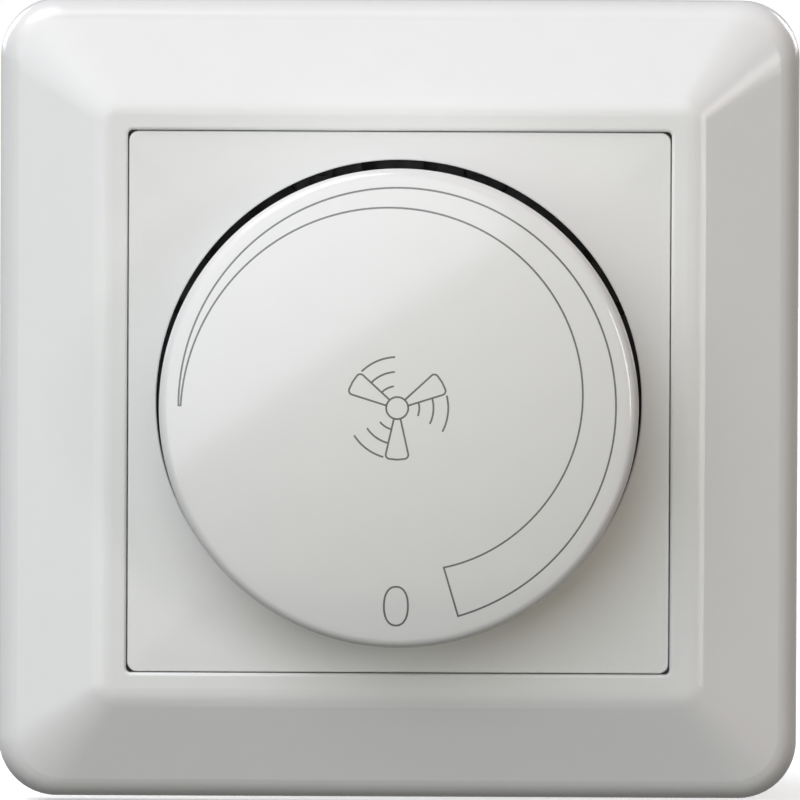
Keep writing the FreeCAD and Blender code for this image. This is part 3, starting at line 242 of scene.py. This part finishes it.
def surface(name, colour, roughness, metallic=0.0, tone=0.04, tone_scale=300, spangled=False, gloss=0.15,
            gloss_scale=900, relief=2e-6, relief_scale=1500, stretch=(1, 1, 1), coat=0.0, ior=1.5):
    """Material with uneven tone, uneven gloss and fine relief."""
    mat, shader = new_material(name)
    links = mat.node_tree.links
    shader.inputs["Metallic"].default_value = metallic
    shader.inputs["Coat Weight"].default_value = coat
    shader.inputs["IOR"].default_value = ior
    pattern = crystals(mat, tone_scale) if spangled else noise(mat, tone_scale, TONE_DETAIL, stretch)
    tones = two_tone(mat, pattern, shade(colour, 1 - tone), shade(colour, 1 + tone))
    links.new(tones, shader.inputs["Base Color"])
    haze = noise(mat, gloss_scale, GLOSS_DETAIL, stretch)
    uneven = spread(mat, haze, roughness * (1 - gloss), roughness * (1 + gloss))
    links.new(uneven, shader.inputs["Roughness"])
    add_bump(mat, shader, noise(mat, relief_scale, RELIEF_DETAIL, stretch), relief)
    return mat


def glass(name, colour):
    """Clear or tinted glass."""
    mat, shader = new_material(name)
    links = mat.node_tree.links
    shader.inputs["Transmission Weight"].default_value = GLASS_CLEARNESS
    tint = noise(mat, GLASS_TONE_SCALE, GLOSS_DETAIL)
    links.new(two_tone(mat, tint, shade(colour, GLASS_SHADE), colour), shader.inputs["Base Color"])
    haze = noise(mat, GLASS_GLOSS_SCALE, GLOSS_DETAIL)
    links.new(spread(mat, haze, *GLASS_ROUGHNESS), shader.inputs["Roughness"])
    return mat


WHITE = (0.80, 0.80, 0.795)
BLACK = (0.012, 0.012, 0.014)
INK = (0.17, 0.173, 0.17)
KNOB_ROUGHNESS = 0.12
KNOB_IOR = 1.59

MATERIALS = {
    "trim_plastic": surface("trim_plastic", WHITE, 0.2, tone=0.006, gloss=0.08, relief=4e-7),
    "knob_plastic": surface("knob_plastic", WHITE, KNOB_ROUGHNESS, tone=0.006, gloss=0.08, relief=3e-7,
                            ior=KNOB_IOR),
    "black_plastic": surface("black_plastic", BLACK, 0.5, tone=0.2, relief=6e-6, relief_scale=5000),
    "housing_plastic": surface("housing_plastic", (0.34, 0.34, 0.32), 0.55, tone=0.08, tone_scale=2500,
                               relief=6e-6, relief_scale=4000),
    "galvanised_steel": surface("galvanised_steel", (0.60, 0.61, 0.62), 0.34, metallic=1.0, tone=0.06,
                                tone_scale=420, spangled=True, relief=1e-6, relief_scale=2500),
    "spring_steel": surface("spring_steel", (0.16, 0.17, 0.20), 0.38, metallic=1.0, tone=0.15),
    "turned_steel": surface("turned_steel", (0.62, 0.62, 0.63), 0.25, metallic=1.0, stretch=(1, 30, 1)),
    "blackened_steel": surface("blackened_steel", (0.015, 0.015, 0.017), 0.45, metallic=0.3, tone=0.2),
    "brass": surface("brass", (0.70, 0.50, 0.20), 0.32, metallic=1.0, tone=0.08, stretch=(1, 1, 12)),
    "bronze": surface("bronze", (0.62, 0.36, 0.18), 0.33, metallic=1.0, tone=0.08, stretch=(12, 1, 1)),
    "tinned_brass": surface("tinned_brass", (0.72, 0.72, 0.70), 0.30, metallic=1.0, tone=0.08),
    "copper_wire": surface("copper_wire", (0.55, 0.20, 0.08), 0.30, metallic=1.0, tone=0.18, relief=4e-5,
                           relief_scale=900, coat=0.3),
    "aluminium": surface("aluminium", (0.70, 0.70, 0.72), 0.35, metallic=1.0, stretch=(1, 14, 1)),
    "iron_powder": surface("iron_powder", (0.05, 0.07, 0.04), 0.5, tone=0.25, tone_scale=3000, relief=8e-6),
    "laminate": surface("laminate", (0.24, 0.13, 0.04), 0.5, tone=0.12, tone_scale=1500),
    "board_laminate": surface("board_laminate", (0.02, 0.12, 0.04), 0.32, tone=0.2, tone_scale=700,
                              relief=8e-6),
    "component_black": surface("component_black", (0.02, 0.02, 0.02), 0.5, tone=0.2, relief=5e-6,
                               relief_scale=4000),
    "component_yellow": surface("component_yellow", (0.60, 0.34, 0.03), 0.4, tone=0.05, relief=3e-6),
    "component_red": surface("component_red", (0.32, 0.02, 0.01), 0.35, tone=0.08, relief=3e-6),
    "component_beige": surface("component_beige", (0.48, 0.34, 0.18), 0.35, tone=0.06, relief=3e-6),
    "fuse_glass": glass("fuse_glass", (0.90, 0.95, 0.97)),
    "diac_glass": glass("diac_glass", (0.70, 0.30, 0.16)),
    "trimmer_plastic": surface("trimmer_plastic", (0.70, 0.68, 0.62), 0.45, tone=0.03),
}
PRINT = surface("print_ink", INK, KNOB_ROUGHNESS, tone=0.12, tone_scale=2500, relief=2e-7, ior=KNOB_IOR)


def dress_nodes():
    """Gives each node the material of its slot."""
    for name, node in NODES.items():
        node.data.materials.clear()
        node.data.materials.append(MATERIALS[SLOT_OF[name]])


# Pieces

def skin(rings, faces):
    """Adds the faces between neighbouring rings of vertices."""
    for low, high in zip(rings, rings[1:]):
        count = max(len(low), len(high))
        for i in range(count):
            k = (i + 1) % count
            corners = [low[i % len(low)], low[k % len(low)], high[k % len(high)], high[i % len(high)]]
            faces.append(list(dict.fromkeys(corners)))


def add_piece(name, verts, faces, material, body):
    """New piece that rides on a body."""
    mesh = bpy.data.meshes.new(name)
    mesh.from_pydata(verts, [], faces)
    mesh.materials.append(material)
    piece = bpy.data.objects.new(name, mesh)
    bpy.context.scene.collection.objects.link(piece)
    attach(piece, body)
    return piece


def smooth(piece):
    """Smooth shading with the real edges kept sharp."""
    piece.data.shade_smooth()
    piece.data.set_sharp_from_angle(angle=math.radians(SHARP_DEG))


# Knob

def crown_height(radius, sphere_r=CROWN_R):
    """Height of the domed face, or of the ceiling below it."""
    return CROWN_CENTRE + math.sqrt(sphere_r ** 2 - radius ** 2)


def side_radius(height):
    """Radius of the drawn-in side at a height."""
    return KNOB_R - KNOB_UNDERCUT * (KNOB_CORNER - height) / (KNOB_CORNER - KNOB_END)


def edge_rounding():
    """Profile points of the rounding between side and face."""
    lean = math.atan2(KNOB_UNDERCUT, KNOB_CORNER - KNOB_END)
    out = Vector((math.cos(lean), -math.sin(lean)))
    up = Vector((math.sin(lean), math.cos(lean)))
    start = Vector((KNOB_R, KNOB_CORNER)) - out * KNOB_EDGE_R
    away = start - Vector((0, CROWN_CENTRE))
    reach = CROWN_R - KNOB_EDGE_R
    along = -away.dot(up) + math.sqrt(away.dot(up) ** 2 - away.length_squared + reach ** 2)
    middle = start + up * along
    last = math.atan2(middle.y - CROWN_CENTRE, middle.x)
    return [(middle.x + KNOB_EDGE_R * math.cos(a), middle.y + KNOB_EDGE_R * math.sin(a))
            for a in between(-lean, last, KNOB_EDGE_STEPS)]


def knob_profile():
    """Profile of the knob from the bore's top over its inside and its side to the apex."""
    rim_r = KNOB_R - KNOB_WALL
    inside_r = rim_r - KNOB_EDGE_R
    ceiling_r = CROWN_R - KNOB_FACE_T
    shoulder = KNOB_CORNER - KNOB_FACE_T
    hub = [(0, KNOB_BORE_TOP), (KNOB_BORE_R, KNOB_BORE_TOP), (KNOB_BORE_R, KNOB_HUB_END),
           (KNOB_HUB_R, KNOB_HUB_END)]
    ceiling = [(r, crown_height(r, ceiling_r)) for r in between(KNOB_HUB_R, inside_r, KNOB_SIDE_STEPS)]
    wall = [(inside_r, shoulder), (rim_r - KNOB_INNER_CHAMFER, shoulder - KNOB_EDGE_R),
            (side_radius(KNOB_END) - KNOB_WALL, KNOB_END)]
    heights = between(KNOB_END, KNOB_CORNER - KNOB_EDGE_R, KNOB_SIDE_STEPS)[:-1]
    side = [(side_radius(height), height) for height in heights]
    rounding = edge_rounding()
    face = [(r, crown_height(r)) for r in between(rounding[-1][0], 0, KNOB_FACE_STEPS)[1:]]
    return hub + ceiling + wall + side + rounding + face


def lathe(profile, count):
    """Vertices and faces of a profile turned about the knob's axis."""
    verts, faces, rings = [], [], []
    for radius, height in profile:
        segments = count if radius else 1
        rings.append(list(range(len(verts), len(verts) + segments)))
        for i in range(segments):
            angle = 2 * math.pi * i / segments
            verts.append(Vector((radius * math.cos(angle), -height, radius * math.sin(angle))) * MM)
    skin(rings, faces)
    return verts, faces


def add_ribs(verts, faces):
    """Adds the stiffening ribs under the knob's face."""
    bottom = KNOB_CORNER - KNOB_FACE_T - KNOB_RIB_DEPTH
    inner, outer = KNOB_HUB_R - KNOB_RIB_SINK, KNOB_R - KNOB_WALL - KNOB_EDGE_R
    for turn in range(KNOB_RIBS):
        angle = 2 * math.pi * (turn + 0.5) / KNOB_RIBS
        along = Vector((math.cos(angle), 0, math.sin(angle)))
        across = Vector((-math.sin(angle), 0, math.cos(angle))) * KNOB_RIB_T / 2
        first = len(verts)
        for radius in (inner, outer):
            for height in (bottom, crown_height(radius, CROWN_R - KNOB_FACE_T / 2)):
                for side in (-1, 1):
                    verts.append((along * radius + across * side + Vector((0, -height, 0))) * MM)
        faces += [[first + i for i in face] for face in BOX_FACES]


def make_knob():
    """Finely divided knob in place of the plain solid's mesh."""
    verts, faces = lathe(knob_profile(), KNOB_SEGMENTS)
    add_ribs(verts, faces)
    piece = add_piece("knob_fine", verts, faces, MATERIALS["knob_plastic"], "knob")
    smooth(piece)
    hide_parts("knob")


# Centre plate

def square_ring(inset):
    """Plan points of the plate's rounded square, set in from its edge."""
    half = PLATE_HALF - inset
    radius = max(PLATE_CORNER_R - inset, PLATE_LEAST_CORNER_R)
    middle = half - radius
    first = math.atan2(half, middle)
    quarter = [(middle + radius * math.cos(a), middle + radius * math.sin(a))
               for a in between(0, math.pi / 2, CORNER_STEPS)]
    quarter += [(half / math.tan(a), half) for a in between(first, math.pi - first, PLATE_SIDE_STEPS)[1:-1]]
    points = []
    for c, s in QUARTER_TURNS:
        points += [(x * c - z * s, x * s + z * c) for x, z in quarter]
    return points


def round_ring(radius):
    """Plan points of a circle that match those of the plate's edge."""
    angles = [math.atan2(z, x) for x, z in square_ring(0)]
    return [(radius * math.cos(a), radius * math.sin(a)) for a in angles]


def plate_rings():
    """Plan points and heights of the plate's section, from the skirt over the face into the opening."""
    bends = between(0, math.pi / 2, PLATE_EDGE_STEPS)
    rings = [(square_ring(0), PLATE_SKIRT_END)]
    rings += [(square_ring(PLATE_EDGE_R * (1 - math.cos(a))), PLATE_FACE - PLATE_EDGE_R * (1 - math.sin(a)))
              for a in bends]
    rings += [(round_ring(PLATE_HOLE_R + PLATE_EDGE_R * (1 - math.sin(a))),
               PLATE_FACE - PLATE_EDGE_R * (1 - math.cos(a))) for a in bends]
    rings += [(round_ring(PLATE_HOLE_R), PLATE_COLLAR_END), (round_ring(PLATE_COLLAR_R), PLATE_COLLAR_END),
              (round_ring(PLATE_COLLAR_R), PLATE_BACK), (square_ring(PLATE_SKIRT_WALL), PLATE_BACK),
              (square_ring(PLATE_SKIRT_WALL), PLATE_SKIRT_END)]
    return rings


def add_hooks(verts, faces):
    """Adds the four snap hooks behind the plate's corners."""
    profile = [(-HOOK_HALF_T, HOOK_ROOT), (-HOOK_HALF_T, HOOK_END), (HOOK_HALF_T, HOOK_END),
               (HOOK_REACH, HOOK_SHOULDER), (HOOK_HALF_T, HOOK_SHOULDER), (HOOK_HALF_T, HOOK_ROOT)]
    for side in (-1, 1):
        for row in (-1, 1):
            ends = []
            for end in (-1, 1):
                z = row * HOOK_PLACE + end * side * HOOK_WIDTH / 2
                ends.append(list(range(len(verts), len(verts) + len(profile))))
                verts += [Vector((side * (HOOK_PLACE + x), -height, z)) * MM for x, height in profile]
            skin(ends, faces)
            faces += [ends[0][::-1], ends[1]]


def make_plate():
    """Finely divided centre plate with crisp edges in place of the plain solid's mesh."""
    verts, faces, rings = [], [], []
    for points, height in plate_rings():
        rings.append(list(range(len(verts), len(verts) + len(points))))
        verts += [Vector((x, -height, z)) * MM for x, z in points]
    skin(rings + rings[:1], faces)
    add_hooks(verts, faces)
    piece = add_piece("plate_fine", verts, faces, MATERIALS["trim_plastic"], "insert")
    smooth(piece)
    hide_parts("centre_plate")


# Print on the knob

def on_crown(x, z, lift):
    """Point in metres, lifted off the knob's face, from millimetres to the right and up."""
    return Vector((x, -crown_height(math.hypot(x, z)) - lift, z)) * MM


def polar(radius, degrees):
    """Plan point at a radius, anticlockwise from the right."""
    angle = math.radians(degrees)
    return radius * math.cos(angle), radius * math.sin(angle)


def moved(points, centre):
    """Plan points moved to a centre."""
    return [(x + centre[0], z + centre[1]) for x, z in points]


def turned(points, degrees):
    """Plan points turned about the fan symbol's centre."""
    c, s = polar(1, degrees)
    return moved([(x * c - z * s, x * s + z * c) for x, z in points], FAN_CENTRE)


def smooth_radius(table, degrees):
    """Radius between the table's points on a smooth curve."""
    for i in range(len(table) - 1):
        (a0, r0), (a1, r1) = table[i], table[i + 1]
        if degrees <= a1:
            before = table[max(0, i - 1)]
            after = table[min(len(table) - 1, i + 2)]
            run = a1 - a0
            slope0 = (r1 - before[1]) / (a1 - before[0])
            slope1 = (after[1] - r0) / (after[0] - a0)
            t = (degrees - a0) / run
            return ((2 * t ** 3 - 3 * t ** 2 + 1) * r0 + (t ** 3 - 2 * t ** 2 + t) * run * slope0
                    + (-2 * t ** 3 + 3 * t ** 2) * r1 + (t ** 3 - t ** 2) * run * slope1)
    return table[-1][1]


def densified(points):
    """Plan points with long straight runs divided, so that the line hugs the crown."""
    result = [points[0]]
    for (x0, z0), (x1, z1) in zip(points, points[1:]):
        parts = max(1, math.ceil(math.hypot(x1 - x0, z1 - z0) / PRINT_RUN))
        result += list(zip(between(x0, x1, parts), between(z0, z1, parts)))[1:]
    return result


def ribbon(points, closed, width, verts, faces):
    """Adds a thin printed line of even width along plan points."""
    points = densified(points + points[:1])[:-1] if closed else densified(points)
    count = len(points)
    first = len(verts)
    for i, here in enumerate(points):
        ahead = points[(i + 1) % count] if closed else points[min(i + 1, count - 1)]
        behind = points[i - 1] if closed or i else here
        runs = [Vector(b) - Vector(a) for a, b in ((behind, here), (here, ahead)) if a != b]
        out = runs[-1].normalized()
        along = (runs[0].normalized() + out).normalized()
        side = Vector((-along.y, along.x)) * width / 2 / max(MITRE_LIMIT, along.dot(out))
        for lift in (PRINT_T, -PRINT_T):
            verts.append(on_crown(here[0] + side.x, here[1] + side.y, lift))
            verts.append(on_crown(here[0] - side.x, here[1] - side.y, lift))
    for i in range(count if closed else count - 1):
        a = first + 4 * i
        b = first + 4 * ((i + 1) % count)
        faces += [(a + p, a + q, b + q, b + p) for p, q in ((0, 1), (1, 3), (3, 2), (2, 0))]
    if not closed:
        last = first + 4 * (count - 1)
        faces += [(first, first + 2, first + 3, first + 1), (last, last + 1, last + 3, last + 2)]


def rounded_corner(before, corner, after, radius):
    """Plan points of a round corner between two straight runs."""
    p = Vector(corner)
    to_before = (Vector(before) - p).normalized()
    to_after = (Vector(after) - p).normalized()
    half = to_before.angle(to_after) / 2
    start = p + to_before * radius / math.tan(half)
    end = p + to_after * radius / math.tan(half)
    middle = p + (to_before + to_after).normalized() * (radius / math.sin(half))
    a0 = math.atan2(start.y - middle.y, start.x - middle.x)
    a1 = math.atan2(end.y - middle.y, end.x - middle.x)
    turn = (a1 - a0 + math.pi) % (2 * math.pi) - math.pi
    return [(middle.x + radius * math.cos(a), middle.y + radius * math.sin(a))
            for a in between(a0, a0 + turn, CORNER_STEPS)]


def wedge_line():
    """Speed wedge: thin at nine o'clock, wide at its end near the bottom."""
    steps = between(0, WEDGE_END_DEG, WEDGE_STEPS)
    outer = [polar(WEDGE_R, WEDGE_START_DEG - a) for a in steps]
    inner = [polar(smooth_radius(WEDGE_INNER, a), WEDGE_START_DEG - a) for a in reversed(steps)]
    return moved(outer + inner, WEDGE_CENTRE)


def zero_line():
    """The zero at the bottom, an upright rounded oval."""
    points = []
    for angle in between(0, 2 * math.pi, ZERO_STEPS)[:-1]:
        c, s = math.cos(angle), math.sin(angle)
        points.append((ZERO_HALF_WIDTH * math.copysign(abs(c) ** ZERO_ROUNDNESS, c),
                       ZERO_HALF_HEIGHT * math.copysign(abs(s) ** ZERO_ROUNDNESS, s)))
    return moved(points, ZERO_CENTRE)


def blade_line():
    """Outline of a fan blade that points down, open at the hub."""
    root_z = -math.sqrt(HUB_R ** 2 - BLADE_ROOT_HALF ** 2)
    tip_z = -BLADE_TIP_R + BLADE_TIP_RISE
    left_root, right_root = (-BLADE_ROOT_HALF, root_z), (BLADE_ROOT_HALF, root_z)
    left_tip, right_tip = (-BLADE_TIP_HALF, tip_z), (BLADE_TIP_HALF, tip_z)
    bottom = (0, -BLADE_TIP_R)
    return ([left_root] + rounded_corner(left_root, left_tip, bottom, BLADE_CORNER_R) + [bottom]
            + rounded_corner(bottom, right_tip, right_root, BLADE_CORNER_R) + [right_root])


def motion_arc(radius, start, end):
    """Plan points of an arc beside the blade that points down."""
    steps = int((end - start) / ARC_STEP_DEG)
    return [polar(radius, BLADE_DEG - a) for a in between(start, end, steps)]


def fan_lines():
    """Open lines of the fan symbol: three blades with the motion arcs beside each."""
    lines = []
    for blade in range(BLADES):
        for line in [blade_line()] + [motion_arc(*row) for row in MOTION_ARCS]:
            lines.append(turned(line, 360 / BLADES * blade))
    return lines


def make_print():
    """All printed lines as one thin piece on the knob."""
    verts, faces = [], []
    hub = [polar(HUB_R, a) for a in between(0, 360, HUB_STEPS)[:-1]]
    ribbon(wedge_line(), True, LINE_WIDTH, verts, faces)
    ribbon(zero_line(), True, ZERO_LINE_WIDTH, verts, faces)
    ribbon(moved(hub, FAN_CENTRE), True, LINE_WIDTH, verts, faces)
    for points in fan_lines():
        ribbon(points, False, LINE_WIDTH, verts, faces)
    piece = add_piece("knob_print", verts, faces, PRINT, "knob")


# Floor, light and camera, in metres, watts and degrees

FLOOR_HALF = 0.9
FLOOR_GAP = 0.0005
FLOOR_GLOW = 0.35
FLOOR_COLOUR = (0.95, 0.95, 0.95)
LIGHT_TARGET = Vector((0, -0.009, 0))
PANEL_ROLL = 38
COOL = (0.85, 0.9, 1)
WARM = (1, 0.85, 0.75)
AMBER = (1, 0.7, 0.55)
ROSE = (1, 0.65, 0.8)
LIME = (0.95, 1, 0.7)
PALE_ROSE = (1, 0.95, 0.95)
NEUTRAL = (1, 1, 1)
GLOW_FROM = (0, 1, 0)
GLOW_POWER = 2
GLOW_COLOUR = (0.4, 0.4, 0.4)
CAMERA_DISTANCE = 3.0
CAMERA_ELEVATION = 3.4
CAMERA_ROLL = 0.26
CAMERA_REACH = 20
SENSOR_WIDTH = 36       # millimetres, as the lens is
VIEW_WIDTH = 0.08179
VIEW_CENTRE = Vector((0.00012, 0, -0.0003))


def make_floor():
    """Plain pale floor under the frame's lower edge, with a faint glow of its own."""
    pale = surface("floor", FLOOR_COLOUR, 0.6, tone=0.01, tone_scale=6, relief=1e-5)
    shader = pale.node_tree.nodes["Principled BSDF"]
    shader.inputs["Emission Color"].default_value = (1, 1, 1, 1)
    shader.inputs["Emission Strength"].default_value = FLOOR_GLOW
    z = CAD_BOX[0].z - FLOOR_GAP
    mesh = bpy.data.meshes.new("floor")
    corners = ((-1, -1), (1, -1), (1, 1), (-1, 1))
    mesh.from_pydata([(x * FLOOR_HALF, y * FLOOR_HALF, z) for x, y in corners], [], [(0, 1, 2, 3)])
    mesh.materials.append(pale)
    floor = bpy.data.objects.new("floor", mesh)
    bpy.context.scene.collection.objects.link(floor)
    floor.visible_diffuse = False
    floor.visible_glossy = False
    floor.visible_shadow = False


def soft_box(name, place, size, power, tint, roll=0):
    """Rectangular light aimed at the object's front."""
    lamp = bpy.data.lights.new(name, "AREA")
    lamp.shape = "RECTANGLE"
    lamp.size, lamp.size_y = size
    lamp.energy = power
    lamp.color = tint
    box = bpy.data.objects.new(name, lamp)
    box.location = place
    aim = (LIGHT_TARGET - box.location).to_track_quat("-Z", "Y")
    box.rotation_euler = (aim @ Quaternion((0, 0, 1), math.radians(roll))).to_euler()
    bpy.context.scene.collection.objects.link(box)


def make_lights():
    """A large panel whose edge shows in the knob, fill from the front and above, and light on the back."""
    soft_box("panel", (-0.85, -1.9, 0.7), (2.9, 1.7), 30.0, COOL, PANEL_ROLL)
    soft_box("front", (0, -2.2, 0.1), (2.5, 2.5), 11.0, LIME)
    soft_box("right_front", (1.25, -1.55, 0.15), (0.3, 0.6), 4.5, PALE_ROSE)
    soft_box("upper_left", (-1.2, -0.7, 1.4), (1.3, 1.3), 11.0, WARM)
    soft_box("high_left", (-0.75, -0.4, 1.8), (1.3, 1.3), 21.0, COOL)
    soft_box("upper_right", (1.2, -0.7, 1.4), (1.3, 1.3), 4.0, AMBER)
    soft_box("low_right", (1.2, -1.4, -0.85), (0.8, 0.8), 1.5, ROSE)
    soft_box("back_left", (-1.2, 1.5, 0.65), (1.0, 1.0), 17.0, NEUTRAL)
    soft_box("back_right", (1.2, 1.5, 0.65), (1.0, 1.0), 15.0, NEUTRAL)


def make_world():
    """Surroundings that glow softly from behind, seen as plain white."""
    world = bpy.data.worlds.new("studio")
    world.use_nodes = True
    tree = world.node_tree
    coords = tree.nodes.new("ShaderNodeTexCoord")
    facing = tree.nodes.new("ShaderNodeVectorMath")
    facing.operation = "DOT_PRODUCT"
    facing.inputs[1].default_value = GLOW_FROM
    behind = tree.nodes.new("ShaderNodeMath")
    behind.operation = "MAXIMUM"
    behind.inputs[1].default_value = 0
    fall = tree.nodes.new("ShaderNodeMath")
    fall.operation = "POWER"
    fall.inputs[1].default_value = GLOW_POWER
    soft = tree.nodes["Background"]
    soft.inputs["Color"].default_value = (*GLOW_COLOUR, 1)
    seen = tree.nodes.new("ShaderNodeBackground")
    seen.inputs["Color"].default_value = (1, 1, 1, 1)
    path = tree.nodes.new("ShaderNodeLightPath")
    mix = tree.nodes.new("ShaderNodeMixShader")
    tree.links.new(coords.outputs["Generated"], facing.inputs[0])
    tree.links.new(facing.outputs["Value"], behind.inputs[0])
    tree.links.new(behind.outputs["Value"], fall.inputs[0])
    tree.links.new(fall.outputs["Value"], soft.inputs["Strength"])
    tree.links.new(path.outputs["Is Camera Ray"], mix.inputs["Fac"])
    tree.links.new(soft.outputs["Background"], mix.inputs[1])
    tree.links.new(seen.outputs["Background"], mix.inputs[2])
    tree.links.new(mix.outputs["Shader"], tree.nodes["World Output"].inputs["Surface"])
    bpy.context.scene.world = world


def make_camera():
    """Long lens almost straight in front, a little above the knob's axis."""
    data = bpy.data.cameras.new("camera")
    data.sensor_width = SENSOR_WIDTH
    data.lens = SENSOR_WIDTH * CAMERA_DISTANCE / VIEW_WIDTH
    data.clip_end = CAMERA_REACH
    camera = bpy.data.objects.new("camera", data)
    tilt = math.radians(CAMERA_ELEVATION)
    back = Vector((0, -math.cos(tilt), math.sin(tilt)))
    camera.location = VIEW_CENTRE + back * CAMERA_DISTANCE
    aim = (-back).to_track_quat("-Z", "Y")
    camera.rotation_euler = (aim @ Quaternion((0, 0, 1), math.radians(CAMERA_ROLL))).to_euler()
    bpy.context.scene.collection.objects.link(camera)
    bpy.context.scene.camera = camera


dress_nodes()
make_knob()
make_plate()
make_print()
make_floor()
make_lights()
make_world()
make_camera()
bpy.context.scene.view_settings.view_transform = "Standard"
